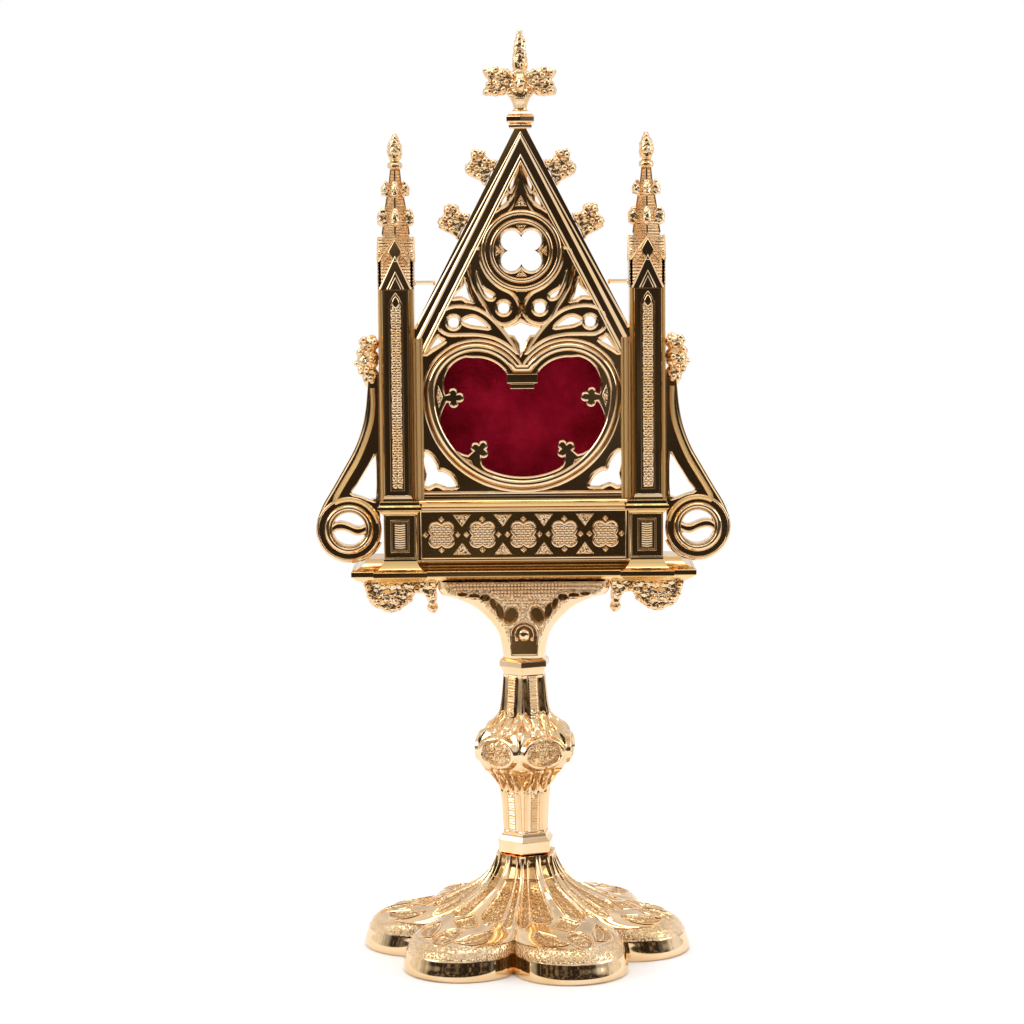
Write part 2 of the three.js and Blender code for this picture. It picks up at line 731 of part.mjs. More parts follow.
function makeFacade() {
  const front = -facadeFront;
  const back = front + facadeThickness;
  const edge = (height) => Math.min(facadeHalfWidth, rakeHalf(height, 0));
  const eaves = gableApex - facadeHalfWidth / rakeSlope;
  const outline = drawn([
    [facadeHalfWidth, 0], [facadeHalfWidth, eaves], [edge(facadeHeight), facadeHeight],
    [-edge(facadeHeight), facadeHeight], [-facadeHalfWidth, eaves], [-facadeHalfWidth, 0],
  ]);
  const slack = 1;
  const cutAll = (shapes, segments) => shapes.map((shape) => plate(shape, front - slack, back + slack, segments));
  const half = join(cutAll(traceryOpenings(), 3));
  const star = cuspedShape([inWindow(0, 0.729), inWindow(-0.204, 0.662),
    inWindow(0, 0.373), inWindow(0.204, 0.662)], 0.3);
  const foils = Array.from({ length: 4 }, (unused, i) => {
    const angle = (i + 0.5) * turn / 4;
    const spread = foilSpread * Math.SQRT2;
    return roundShape(spread * Math.cos(angle), roundelCentre + spread * Math.sin(angle), foilRadius);
  });
  const openings = join([
    bothSides(half), ...cutAll([star], 2), ...cutAll(foils, 3), ...cutAll([glassOutline()], 3),
    ...cutAll([roundShape(0, roundelCentre, foilSpread)], 2),
  ]);
  return join([plate(outline, front, back).subtract(openings), ...makeFacadeRelief(front),
    bothSides(makeCuspTips(front, back))]);
}

// Knobs at the ends of the cusps that stand into the window
function makeCuspTips(front, back) {
  const knobs = glassCusps.map((cusp) => {
    const [x, z] = inWindow(cusp[0] + cuspKnobInset, cusp[1]);
    const geometry = new THREE.CylinderGeometry(cuspKnobRadius, cuspKnobRadius, back - front, 6);
    geometry.translate(x, (front + back) / 2, z);
    return toSolid(geometry);
  });
  return join(knobs);
}

// Raised mouldings: three lines along the rakes, two rings on the roundel, one on the window
function makeFacadeRelief(front) {
  const proud = front - mouldingRelief;
  const sunk = front + facadeThickness / 2;
  const alongRake = (low, high, outer, inner) => drawn([
    [rakeHalf(low, outer), low], [rakeHalf(high, outer), high],
    [rakeHalf(high, inner), high], [rakeHalf(low, inner), low],
  ]);
  const face = block(2 * facadeHalfWidth, 4 * facadeThickness, facadeHeight, 0, front, 0);
  const share = (from, to) => {
    const low = gableApex - (facadeHalfWidth + 2 * rakeWidth) / rakeSlope;
    const strip = plate(alongRake(low, gableApex, rakeWidth * from, rakeWidth * to), proud, sunk);
    const rightHalf = block(facadeHalfWidth, 4 * facadeThickness, facadeHeight, facadeHalfWidth / 2, front, 0);
    return bothSides(strip.intersect(rightHalf)).intersect(face);
  };
  const circle = (inset) => Array.from({ length: 16 }, (unused, i) => {
    const angle = i * turn / 16;
    const radius = roundelRadius - inset;
    return [radius * Math.cos(angle), roundelCentre + radius * Math.sin(angle)];
  });
  const bead = (outer, inner) => {
    const slope = (inner - outer) * 0.25;
    return [[outer, sunk], [outer + slope, proud], [inner - slope, proud], [inner, sunk]];
  };
  return [
    share(0, 0.14),
    share(0.34, 0.52),
    share(0.72, 0.86),
    sweptRing(circle, bead(0, roundelRadius * 0.12)),
    sweptRing(circle, bead(roundelRadius * 0.21, roundelRadius * 0.31)),
    sweptRing(windowOutline, bead(windowBorder * 0.18, windowBorder * 0.6)),
  ];
}

// Relic chamber: a drum behind the window, the glass, the velvet and the lid

const drumFront = -facadeFront + facadeThickness;
const drumInset = windowBorder * 0.2;

function windowShape(inset) {
  return drawn(windowOutline(inset));
}

function makeDrum() {
  const outer = plate(windowShape(drumInset), drumFront, drumFront + chamberDepth);
  const inner = plate(windowShape(drumInset + chamberWall), drumFront - 1, drumFront + chamberDepth + 1);
  return outer.subtract(inner);
}

const linerInset = drumInset + chamberWall + fitClearance;

function makeGlass() {
  return plate(windowShape(linerInset), drumFront, drumFront + glassThickness);
}

function makeVelvet() {
  const front = drumFront + glassThickness + velvetSetback;
  return plate(windowShape(linerInset), front, front + velvetThickness);
}

function makeCover() {
  const back = drumFront + chamberDepth;
  const lid = plate(windowShape(drumInset - 0.4), back, back + coverThickness);
  const plug = plate(windowShape(linerInset), back - coverLip, back);
  return lid.add(plug);
}

// Pillars and pinnacles

function makePillar() {
  const half = pillarWidth / 2;
  const front = -(half + buttressProjection);
  const core = block(pillarWidth, pillarWidth, pillarHeight, 0, 0, 0);
  const buttress = block(buttressWidth, half + buttressProjection, pillarHeight, 0, front / 2, 0);
  const panelInset = buttressWidth * 0.25;
  const panelWidth = buttressWidth - 2 * panelInset;
  const panelLow = 3;
  const panelHigh = pillarHeight - 2.5;
  const panel = plate(drawn([
    [-panelWidth / 2, panelLow], [panelWidth / 2, panelLow], [panelWidth / 2, panelHigh - 3],
    [0, panelHigh], [-panelWidth / 2, panelHigh - 3],
  ]), front - 1, front + 1);
  const shaft = block(panelWidth * 0.45, 1.6, panelHigh - panelLow - 5, 0, front + 0.8, panelLow + 0.5);
  const gablet = plate(drawn([
    [-buttressWidth * 0.55, -0.6], [buttressWidth * 0.55, -0.6], [0, gabletHeight],
  ]), front - 0.5, -half - 0.15);
  const finial = lump([1.6, 1, 2.6], [0, front + 0.6, gabletHeight + 1.6]);
  const head = shifted(gablet.add(finial), 0, 0, pillarHeight);
  return join([core, buttress.subtract(panel), shaft, head]);
}

function makePinnacle() {
  const half = pillarWidth / 2;
  const baseTop = pinnacleBaseHeight * 0.58;
  const base = block(pillarWidth, pillarWidth, baseTop, 0, 0, 0);
  const roof = plate(drawn([
    [-half, baseTop - 0.5], [half, baseTop - 0.5], [0, pinnacleBaseHeight],
  ]), -half, half);
  const neck = pinnacleHeight * 0.69;
  const ball = pinnacleHeight * 0.785;
  const spire = turned([
    [0, baseTop], [spireRadius * 1.15, baseTop], [spireRadius, pinnacleBaseHeight + 1.6],
    [1.4, neck], [1.4, ball], [0, ball],
  ], 4);
  const bud = turned([
    [0, neck + 2], [1.2, neck + 2], [pinnacleBudRadius, ball - 1], [pinnacleBudRadius, ball + 0.6],
    [1.1, ball + 1.8], [pinnacleBudRadius, ball + 5], [1.3, ball + 9], [0, pinnacleHeight],
  ], 6);
  const tiers = [[0.455, 6.6, 2.5], [0.625, 5, 2.1]];
  const leaves = tiers.flatMap(([rise, reach, size]) => Array.from({ length: 4 }, (unused, i) => {
    const place = [reach - size, 0, pinnacleHeight * rise];
    const leaf = lump([size, size * 0.8, size * 1.3], place, 25, THREE.OctahedronGeometry);
    return spun(leaf, i * 90);
  }));
  return join([base, roof, spun(roof, 90), spire, bud, ...leaves]);
}

// Wings: a curved bracket outside each pillar, ending in a volute over the cornice

function makeWing() {
  const inner = pillarCentre + pillarWidth / 2;
  const centreX = wingReach - voluteRadius;
  const centreZ = corniceHeight * 0.85 + voluteRadius - plinthHeight;
  const front = -(wingThickness - wingBack) - 1;
  const back = front + wingThickness;
  const shoulder = wingTop;
  const elbowX = mix(inner, wingReach, 0.495);
  const elbowZ = shoulder * 0.34;
  const band = new THREE.Shape();
  band.moveTo(inner, shoulder);
  band.lineTo(inner + 3.7, shoulder);
  band.bezierCurveTo(inner + 4.2, shoulder * 0.7, inner + 6.7, shoulder * 0.51, elbowX, elbowZ);
  band.quadraticCurveTo(wingReach - 2.7, 0, wingReach, centreZ);
  band.lineTo(centreX, centreZ);
  band.lineTo(centreX, centreZ + voluteRadius);
  band.quadraticCurveTo(elbowX - 1.6, elbowZ - 5.6, inner + 3, elbowZ + 1.4);
  band.lineTo(inner, elbowZ + 5);
  band.closePath();
  const disc = plate(roundShape(centreX, centreZ, voluteRadius), front, back, 8);
  const hole = plate(roundShape(centreX, centreZ, voluteRadius - voluteRim), front - 1, back + 1, 6);
  const rimLine = 1.2;
  const rim = plate(roundShape(centreX, centreZ, voluteRadius), front - 0.8, front + 1, 8)
    .subtract(plate(roundShape(centreX, centreZ, voluteRadius - rimLine), front - 2, front + 2, 8));
  const waveHalf = 1.3;
  const swing = voluteRadius * 0.42;
  const wave = new THREE.Shape();
  const span = voluteRadius - voluteRim + 1;
  wave.moveTo(centreX - span, centreZ - waveHalf);
  wave.bezierCurveTo(centreX - span / 3, centreZ + swing - waveHalf, centreX + span / 3,
    centreZ - swing - waveHalf, centreX + span, centreZ - waveHalf);
  wave.lineTo(centreX + span, centreZ + waveHalf);
  wave.bezierCurveTo(centreX + span / 3, centreZ - swing + waveHalf, centreX - span / 3,
    centreZ + swing + waveHalf, centreX - span, centreZ + waveHalf);
  wave.closePath();
  const middle = (front + back) / 2;
  const pier = block(1.5, wingThickness, shoulder, inner + 0.75, middle, 0);
  const head = [
    lump([3.4, 4.2, 4], [inner + 3.4, middle, shoulder + 12.4], 20),
    lump([4, 4.8, 4.6], [inner + 3.6, middle, shoulder + 6.8], -10),
    lump([3.2, 3.9, 4], [inner + 3, middle, shoulder + 1], 0),
  ];
  const pillarSide = block(pillarWidth * 2, 40, 400, inner - pillarWidth, 0, -100);
  const pedestalSide = pedestalCentre + pedestalHalfWidth + pedestalCornice + wingGap;
  const pedestalBox = block(pillarWidth * 2, 40, plinthHeight + wingGap,
    pedestalSide - pillarWidth, 0, -plinthHeight);
  const frame = join([plate(band, front, back, 5), disc, rim]).subtract(hole);
  return join([frame, plate(wave, front + 1, back, 4), pier, ...head])
    .subtract(pillarSide).subtract(pedestalBox);
}

// Roof ornament

// A leaf of the gable: one lobe stands up and one curls outward
function makeCrocket() {
  const reach = crocketReach;
  const high = crocketHeight;
  const leanIn = (rise) => -high * rise * rakeSlope;
  const shape = new THREE.Shape();
  shape.moveTo(0, 0);
  shape.quadraticCurveTo(reach * 0.2, high * 0.18, reach * 0.6, high * 0.22);
  shape.quadraticCurveTo(reach * 0.92, high * 0.3, reach, high * 0.5);
  shape.lineTo(reach * 0.68, high * 0.7);
  shape.quadraticCurveTo(reach * 0.78, high * 0.98, reach * 0.4, high);
  shape.lineTo(-reach * 0.04, high * 0.96);
  shape.lineTo(-reach * 0.1, high * 0.8);
  shape.lineTo(leanIn(0.72), high * 0.72);
  shape.closePath();
  const half = crocketThickness / 2;
  const leaf = plate(shape, -half, half, 3);
  const curl = lump([reach * 0.4, half + 0.9, high * 0.2], [reach * 0.5, 0, high * 0.45]);
  return leaf.add(curl);
}

function makeFinialCollar() {
  const high = finialCollarHeight;
  return skin(hexRings([
    [finialCollarRadius * 0.75, 0], [finialCollarRadius * 0.84, high * 0.1],
    [finialCollarRadius * 0.84, high * 0.28], [finialCollarRadius, high * 0.38],
    [finialCollarRadius, high * 0.75], [finialCollarRadius * 0.8, high],
  ]));
}

function makeFinial() {
  const armLevel = finialArmRise;
  const budFoot = finialHeight * 0.5;
  const budRise = finialHeight - budFoot;
  const stalk = turned([
    [0, 0], [finialStalkRadius * 1.3, 0], [finialStalkRadius, finialHeight * 0.06],
    [finialStalkRadius * 1.75, finialHeight * 0.16], [finialStalkRadius * 1.9, finialHeight * 0.3],
    [finialStalkRadius * 1.5, budFoot], [finialBudRadius * 0.75, budFoot + budRise * 0.06],
    [finialBudRadius, budFoot + budRise * 0.24], [finialBudRadius * 0.72, budFoot + budRise * 0.5],
    [finialBudRadius * 0.6, budFoot + budRise * 0.74], [0, finialHeight],
  ], 6);
  const arm = (reach) => join([
    lump([reach * 0.42, 2.6, 2.8], [reach * 0.5, 0, armLevel]),
    lump([2.9, 2.8, 3.4], [reach - 2.9, 0, armLevel + 1.8], 35, THREE.OctahedronGeometry),
    lump([2.1, 2.1, 2.1], [reach - 2.3, 0, armLevel - 2.2]),
  ]);
  const side = arm(finialSpan);
  const short = lump([finialSpan * 0.45, 2.4, 3], [finialSpan * 0.2, 0, armLevel], 20);
  return join([stalk, side, spun(side, 180), spun(short, 90), spun(short, 270)]);
}

// Scene graph

const finishes = {
  giltBrass: new THREE.MeshStandardMaterial({ color: 0xf5cd96, roughness: 0.16, metalness: 1 }),
  glass: new THREE.MeshStandardMaterial({
    color: 0xf4f7f7, roughness: 0.03, metalness: 0, transparent: true, opacity: 0.15,
  }),
  velvet: new THREE.MeshStandardMaterial({ color: 0x86081f, roughness: 0.95, metalness: 0 }),
};

function named(name, solid, finish, place = [0, 0, 0]) {
  const mesh = new THREE.Mesh(toGeometry(solid), finish);
  mesh.name = name;
  mesh.position.set(...place);
  return mesh;
}

function addPair(group, name, solid, place) {
  const [x, y, z] = place;
  group.add(named(`${name}_right`, solid, finishes.giltBrass, [x, y, z]));
  group.add(named(`${name}_left`, mirrored(solid), finishes.giltBrass, [-x, y, z]));
}

const reliquary = new THREE.Group();

const stand = new THREE.Group();
stand.rotation.z = radians(footTurn);
stand.add(named('foot', makeFoot(), finishes.giltBrass));
stand.add(named('foot_collar', makeFootCollar(), finishes.giltBrass, [0, 0, footCollarLevel]));
stand.add(named('stem', makeStem(), finishes.giltBrass, [0, 0, stemLevel]));
stand.add(named('head_collar', makeHeadCollar(), finishes.giltBrass, [0, 0, headCollarLevel]));
reliquary.add(stand);

reliquary.add(named('console', makeConsole(), finishes.giltBrass, [0, 0, consoleLevel]));
reliquary.add(named('plinth', makePlinth(), finishes.giltBrass, [0, 0, plinthLevel]));

const shrine = new THREE.Group();
shrine.position.z = shrineLevel;
shrine.add(named('shrine_front', makeFacade(), finishes.giltBrass));
shrine.add(named('chamber_drum', makeDrum(), finishes.giltBrass));
shrine.add(named('glass_pane', makeGlass(), finishes.glass));
shrine.add(named('velvet_panel', makeVelvet(), finishes.velvet));
shrine.add(named('chamber_cover', makeCover(), finishes.giltBrass));
addPair(shrine, 'pillar', makePillar(), [pillarCentre, 0, 0]);
addPair(shrine, 'pinnacle', makePinnacle(), [pillarCentre, 0, pillarHeight]);
addPair(shrine, 'wing', makeWing(), [0, 0, 0]);

const crocketDepth = -facadeFront + facadeThickness / 2;
crocketRises.forEach((rise, i) => {
  const contact = rakeHalf(rise, 0) + rakeGap;
  addPair(shrine, `crocket_${i === 0 ? 'low' : 'high'}`, makeCrocket(), [contact, crocketDepth, rise]);
});

const rodLevel = tieRodHeight + pillarHeight;
const rodInner = rakeHalf(rodLevel, 0) + rakeGap;
const rodOuter = pillarCentre - pillarWidth / 2;
const rod = block(rodOuter - rodInner, tieRodThickness, tieRodThickness, 0, 0, 0);
addPair(shrine, 'tie_rod', rod, [(rodOuter + rodInner) / 2, crocketDepth, rodLevel]);
reliquary.add(shrine);

reliquary.add(named('finial_collar', makeFinialCollar(), finishes.giltBrass,
  [0, crocketDepth, finialCollarLevel]));
reliquary.add(named('finial', makeFinial(), finishes.giltBrass, [0, crocketDepth, finialLevel]));

export default reliquary;
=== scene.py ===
import math

import bpy
from mathutils import Matrix, Vector


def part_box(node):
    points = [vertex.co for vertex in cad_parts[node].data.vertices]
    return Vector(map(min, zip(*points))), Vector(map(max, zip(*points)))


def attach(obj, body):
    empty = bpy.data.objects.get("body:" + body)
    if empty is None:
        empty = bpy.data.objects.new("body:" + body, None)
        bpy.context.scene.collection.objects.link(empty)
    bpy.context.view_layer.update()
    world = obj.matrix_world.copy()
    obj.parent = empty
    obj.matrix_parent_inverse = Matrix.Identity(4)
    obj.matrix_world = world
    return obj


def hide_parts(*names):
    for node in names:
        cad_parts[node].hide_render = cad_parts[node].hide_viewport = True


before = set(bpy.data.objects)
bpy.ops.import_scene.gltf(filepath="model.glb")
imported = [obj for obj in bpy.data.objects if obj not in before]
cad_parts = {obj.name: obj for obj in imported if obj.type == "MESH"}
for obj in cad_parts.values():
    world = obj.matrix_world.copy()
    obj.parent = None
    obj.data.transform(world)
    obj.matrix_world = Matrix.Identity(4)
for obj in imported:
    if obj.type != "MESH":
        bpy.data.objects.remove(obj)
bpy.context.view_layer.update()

# The work below is in millimetres; each piece is brought to metres when it is finished
MM = 0.001


def node_box(node):
    """Lowest and highest corner of a piece of the frame, in millimetres."""
    low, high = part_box(node)
    return low / MM, high / MM


# Levels and reaches taken from the frame
foot_top = node_box("foot")[1].z
stem_low, stem_high = (corner.z for corner in node_box("stem"))
console_low, console_high = (corner.z for corner in node_box("console"))
plinth_top = node_box("plinth")[1].z
front_half, front_top = node_box("shrine_front")[1].x, node_box("shrine_front")[1].z
drum_front, drum_back = (corner.y for corner in node_box("chamber_drum"))
pillar_inside, pillar_outside = (corner.x for corner in node_box("pillar_right"))
pillar_x = (pillar_inside + pillar_outside) / 2
pillar_half = (pillar_outside - pillar_inside) / 2
pillar_top = plinth_top + 72.7
pinnacle_high = node_box("pinnacle_right")[1].z
finial_low, finial_high = (corner.z for corner in node_box("finial"))
finial_y = sum(corner.y for corner in node_box("finial")) / 2
collar_low = node_box("finial_collar")[0].z

# The plane of the tracery's bars and the ground behind them
front_y = drum_front - 3.0
recess_y = front_y + 0.9

stand_turn = math.radians(-6.8)
foot_reach = 57.5
lobe_radius = 19.9
lobe_centre = foot_reach - lobe_radius
pedestal_x = 42.5
gable_angle = math.radians(27.3)
gable_apex = front_top + 3.9
window_z = plinth_top + 36.8
window_radius = 34.3
arch_radius = 18.5
roundel_z = plinth_top + 85.5
roundel_radius = 14.0


# Small sums

def mix(a, b, share):
    return a + (b - a) * share


def step(low, high, value):
    """0 below low and 1 above high, with a smooth passage; it falls where low is the greater."""
    share = min(1.0, max(0.0, (value - low) / (high - low)))
    return share * share * (3 - 2 * share)


def ridge(distance, half_width):
    """A rounded ridge of height 1 over a line."""
    share = min(1.0, abs(distance) / half_width)
    return (1 - share * share) ** 2


def along(points, value):
    """The second value of the row of points at a first value, straight between them."""
    if value <= points[0][0]:
        return points[0][1]
    for (low, start), (high, end) in zip(points, points[1:]):
        if value <= high:
            return mix(start, end, (value - low) / (high - low))
    return points[-1][1]


def curved(points, steps=4, closed=True):
    """A smooth line through the points."""
    count = len(points)
    spans = count if closed else count - 1
    line = []
    for i in range(spans):
        if closed:
            a, b, c, d = (points[(i + k) % count] for k in (-1, 0, 1, 2))
        else:
            a, b, c, d = (points[min(count - 1, max(0, i + k))] for k in (-1, 0, 1, 2))
        for j in range(steps):
            t = j / steps
            line.append(tuple(
                0.5 * (2 * q + (r - p) * t + (2 * p - 5 * q + 4 * r - s) * t * t
                       + (3 * q - p - 3 * r + s) * t ** 3)
                for p, q, r, s in zip(a, b, c, d)))
    if not closed:
        line.append(tuple(points[-1]))
    return line


def arc(centre, radius, start, end, steps):
    """Points on an arc, with its angles in degrees."""
    turns = [math.radians(mix(start, end, i / steps)) for i in range(steps + 1)]
    return [(centre[0] + radius * math.cos(t), centre[1] + radius * math.sin(t)) for t in turns]


def circle(centre, radius, steps=32):
    return arc(centre, radius, 0, 360, steps)[:-1]


def flipped(points):
    """The same line on the other side of the middle."""
    return [(-x, z) for x, z in reversed(points)]


def two_sided(lines):
    return lines + [flipped(line) for line in lines]


def raised(points, rise):
    """Points of (x or radius, height) lifted to a level."""
    return [(x, rise + z) for x, z in points]


def swung(x, y, degrees):
    """A point turned round the origin."""
    c, s = math.cos(math.radians(degrees)), math.sin(math.radians(degrees))
    return x * c - y * s, x * s + y * c


def sixth(share):
    """Which of six sides a share of the way round lies on, and where on that side."""
    side = int(share * 6 * 0.9999999)
    return side, share * 6 - side


# Modelling helpers

def put_down():
    bpy.ops.object.select_all(action='DESELECT')


def pick(*pieces):
    put_down()
    for piece in pieces:
        piece.select_set(True)
    bpy.context.view_layer.objects.active = pieces[0]


def joined(pieces):
    pick(*pieces)
    if len(pieces) > 1:
        bpy.ops.object.join()
    return bpy.context.object


def open_up():
    """Edit mode with the whole of the active piece selected."""
    bpy.ops.object.mode_set(mode='EDIT')
    bpy.ops.mesh.select_all(action='SELECT')


def tidied(piece):
    """Doubles merged and faces turned outward."""
    pick(piece)
    open_up()
    bpy.ops.mesh.remove_doubles(threshold=0.001)
    bpy.ops.mesh.normals_make_consistent(inside=False)
    bpy.ops.object.mode_set(mode='OBJECT')
    return piece


def moved(piece, matrix):
    piece.data.transform(matrix)
    if matrix.determinant() < 0:
        piece.data.flip_normals()
    return piece


def placed(piece, x=0.0, y=0.0, z=0.0):
    return moved(piece, Matrix.Translation((x, y, z)))


def spun(piece, degrees, axis='Z'):
    return moved(piece, Matrix.Rotation(math.radians(degrees), 4, axis))


def mirrored(piece):
    return moved(piece, Matrix.Scale(-1, 4, (1, 0, 0)))


def copied(piece):
    twin = piece.copy()
    twin.data = piece.data.copy()
    bpy.context.scene.collection.objects.link(twin)
    return twin


def both_sides(piece):
    return [piece, mirrored(copied(piece))]


def all_round(piece, count):
    return [piece] + [spun(copied(piece), 360 / count * i) for i in range(1, count)]


def painted(piece, finish):
    piece.data.materials.clear()
    piece.data.materials.append(finish)
    return piece


def worked(piece, name, kind, **settings):
    """A modifier put on and applied."""
    pick(piece)
    modifier = piece.modifiers.new(name, kind)
    for setting, value in settings.items():
        setattr(modifier, setting, value)
    bpy.ops.object.modifier_apply(modifier=name)
    return piece


def softened(piece, width=0.15, segments=2):
    """Edges rounded with a bevel."""
    return worked(piece, "edges", 'BEVEL', width=width, segments=segments, limit_method='ANGLE',
                  angle_limit=math.radians(30))


def drawn(lines, closed, finish, **settings):
    """Lines of points made a mesh by the settings of a curve."""
    put_down()
    bpy.ops.curve.primitive_bezier_circle_add(radius=1)
    data = bpy.context.object.data
    data.splines.clear()
    for setting, value in settings.items():
        setattr(data, setting, value)
    for line in lines:
        spline = data.splines.new('POLY')
        spline.points.add(len(line) - 1)
        for point, place in zip(spline.points, line):
            point.co = (*place, 1)
        spline.use_cyclic_u = closed
    bpy.ops.object.convert(target='MESH')
    return painted(tidied(bpy.context.object), finish)


def plate(outlines, front, back, finish, edge=0.2, rounds=1):
    """Outlines in X and Z, the inner ones as holes, made a plate along Y with rounded edges."""
    lines = [[(x, z, 0) for x, z in outline] for outline in outlines]
    piece = drawn(lines, True, finish, dimensions='2D', fill_mode='BOTH',
                  extrude=(back - front) / 2 - edge, bevel_depth=edge, bevel_resolution=rounds,
                  offset=-edge)
    return placed(spun(piece, 90, 'X'), y=(front + back) / 2)


def tube(lines, radius, finish, closed=False, rounds=2):
    return drawn(lines, closed, finish, dimensions='3D', fill_mode='FULL', bevel_depth=radius,
                 bevel_resolution=rounds, use_fill_caps=not closed)


def bead(lines, radius, y, finish, closed=True, rounds=2):
    """Round beads along lines in X and Z, half sunk in the plane at y."""
    return tube([[(x, y, z) for x, z in line] for line in lines], radius, finish, closed, rounds)


def drawn_up(levels):
    """The active flat face extruded and resized up levels of (half in X, half in Y, height)."""
    bpy.ops.object.transform_apply(location=True, rotation=True, scale=True)
    open_up()
    for (x, y, z), (next_x, next_y, next_z) in zip(levels, levels[1:]):
        bpy.ops.mesh.extrude_region_move(TRANSFORM_OT_translate={"value": (0, 0, next_z - z)})
        bpy.ops.transform.resize(value=(next_x / x, next_y / y, 1), center_override=(0, 0, next_z))
    bpy.ops.object.mode_set(mode='OBJECT')
    return tidied(bpy.context.object)


def turned(profile, sides, finish, turn=0.0):
    """A disc extruded and resized up a profile of (radius, height)."""
    put_down()
    radius, height = profile[0]
    bpy.ops.mesh.primitive_circle_add(vertices=sides, radius=radius, fill_type='NGON',
                                      location=(0, 0, height))
    piece = drawn_up([(r, r, z) for r, z in profile])
    return painted(moved(piece, Matrix.Rotation(turn, 4, 'Z')), finish)


def moulded(half_x, half_y, profile, finish, x=0.0, y=0.0):
    """A rectangle extruded up a profile of (projection beyond the half sizes, height)."""
    put_down()
    out, height = profile[0]
    bpy.ops.mesh.primitive_plane_add(size=2, location=(0, 0, height))
    bpy.ops.transform.resize(value=(half_x + out, half_y + out, 1), center_override=(0, 0, height))
    piece = drawn_up([(half_x + out, half_y + out, z) for out, z in profile])
    return painted(placed(softened(piece), x, y), finish)


def bar(low, high, finish, edge=0.2):
    """A bar between two corners with rounded edges."""
    put_down()
    bpy.ops.mesh.primitive_cube_add(size=1)
    piece = moved(bpy.context.object, Matrix.Diagonal((*(Vector(high) - Vector(low)), 1)))
    placed(piece, *((Vector(low) + Vector(high)) / 2))
    return painted(softened(piece, edge), finish)


def lump(radii, centre, detail=3, tilt=0.0):
    put_down()
    bpy.ops.mesh.primitive_ico_sphere_add(subdivisions=detail, radius=1)
    piece = moved(bpy.context.object, Matrix.Diagonal((*radii, 1)))
    return placed(spun(piece, tilt, 'Y'), *centre)


def studs(points, radius, finish, flat=0.7):
    """Small round beads at points (x, y, z)."""
    seed = painted(lump((radius, radius * flat, radius), (0, 0, 0), 2), finish)
    beads = [placed(copied(seed), *point) for point in points]
    bpy.data.objects.remove(seed)
    return beads


def wrapped(columns, rows, place, finish):
    """A grid laid on the surface place(u, v), closed round u; its last values are two masks, the matte
    finish and the painted shade of sunk places.
    """
    put_down()
    bpy.ops.mesh.primitive_grid_add(x_subdivisions=columns, y_subdivisions=rows, size=1)
    piece = bpy.context.object
    mesh = piece.data
    spots = [place(vertex.co.x + 0.5, vertex.co.y + 0.5) for vertex in mesh.vertices]
    mesh.vertices.foreach_set("co", [value for spot in spots for value in spot[:3]])
    for i, name in ((3, "matte"), (4, "painted_recess_shade")):
        mask = mesh.attributes.new(name, 'FLOAT', 'POINT')
        mask.data.foreach_set("value", [spot[i] for spot in spots])
    open_up()
    bpy.ops.mesh.remove_doubles(threshold=0.0005)
    bpy.ops.mesh.select_all(action='DESELECT')
    bpy.ops.mesh.select_non_manifold(extend=False)
    bpy.ops.mesh.fill_holes(sides=0)
    bpy.ops.mesh.select_all(action='SELECT')
    bpy.ops.mesh.normals_make_consistent(inside=False)
    bpy.ops.object.mode_set(mode='OBJECT')
    return painted(piece, finish)


def leafy(parts, voxel, cell, depth):
    """Lumps and plates melted into one mass and worked over with small curled leaves."""
    piece = joined(parts)
    worked(piece, "melt", 'REMESH', mode='VOXEL', voxel_size=voxel)
    worked(piece, "soften", 'SMOOTH', iterations=2)
    cells = bpy.data.textures.new("leaf_cells", 'VORONOI')
    cells.noise_scale = cell
    cells.distance_metric = 'DISTANCE'
    worked(piece, "leaves", 'DISPLACE', texture=cells, texture_coords='LOCAL', strength=-depth,
           mid_level=0.45)
    return painted(piece, leafwork)


def beaded_leaf(mass, voxel, cell, depth, spots, size, flat=1.0):
    """A leafy mass with small beads along its curls."""
    return joined([leafy(mass, voxel, cell, depth), *studs(spots, size, leafwork, flat)])


def finished(name, parts, nodes, angle=40):
    """One piece in metres that rides with the object and stands for its nodes."""
    piece = joined(parts)
    pick(piece)
    bpy.ops.object.shade_smooth_by_angle(angle=math.radians(angle))
    worked(piece, "even", 'WEIGHTED_NORMAL', keep_sharp=True, weight=60)
    moved(piece, Matrix.Scale(MM, 4))
    piece.name = name
    piece.data.name = name
    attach(piece, "root")
    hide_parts(*nodes)
    return piece


def finished_pair(name, piece, node):
    """A right-hand piece and its mirror image."""
    left = mirrored(copied(piece))
    finished("right_" + name, [piece], [node + "_right"])
    finished("left_" + name, [left], [node + "_left"])


# Materials

def give(tree, node, inputs):
    """Inputs of a shader node: one given as a socket is linked, any other is set."""
    for label, value in inputs.items():
        if isinstance(value, bpy.types.NodeSocket):
            tree.links.new(value, node.inputs[label])
        else:
            node.inputs[label].default_value = value
    return node


def add_node(tree, kind, inputs={}, **settings):
    node = tree.nodes.new('ShaderNode' + kind)
    for setting, value in settings.items():
        setattr(node, setting, value)
    return give(tree, node, inputs)


def on_object(tree):
    return add_node(tree, 'TexCoord').outputs["Object"]


def calculated(tree, operation, *values):
    return add_node(tree, 'Math', dict(enumerate(values)), operation=operation).outputs[0]


def noise(tree, place, scale, detail=2.0, roughness=0.5):
    inputs = {"Vector": place, "Scale": scale, "Detail": detail, "Roughness": roughness}
    return add_node(tree, 'TexNoise', inputs).outputs["Fac"]


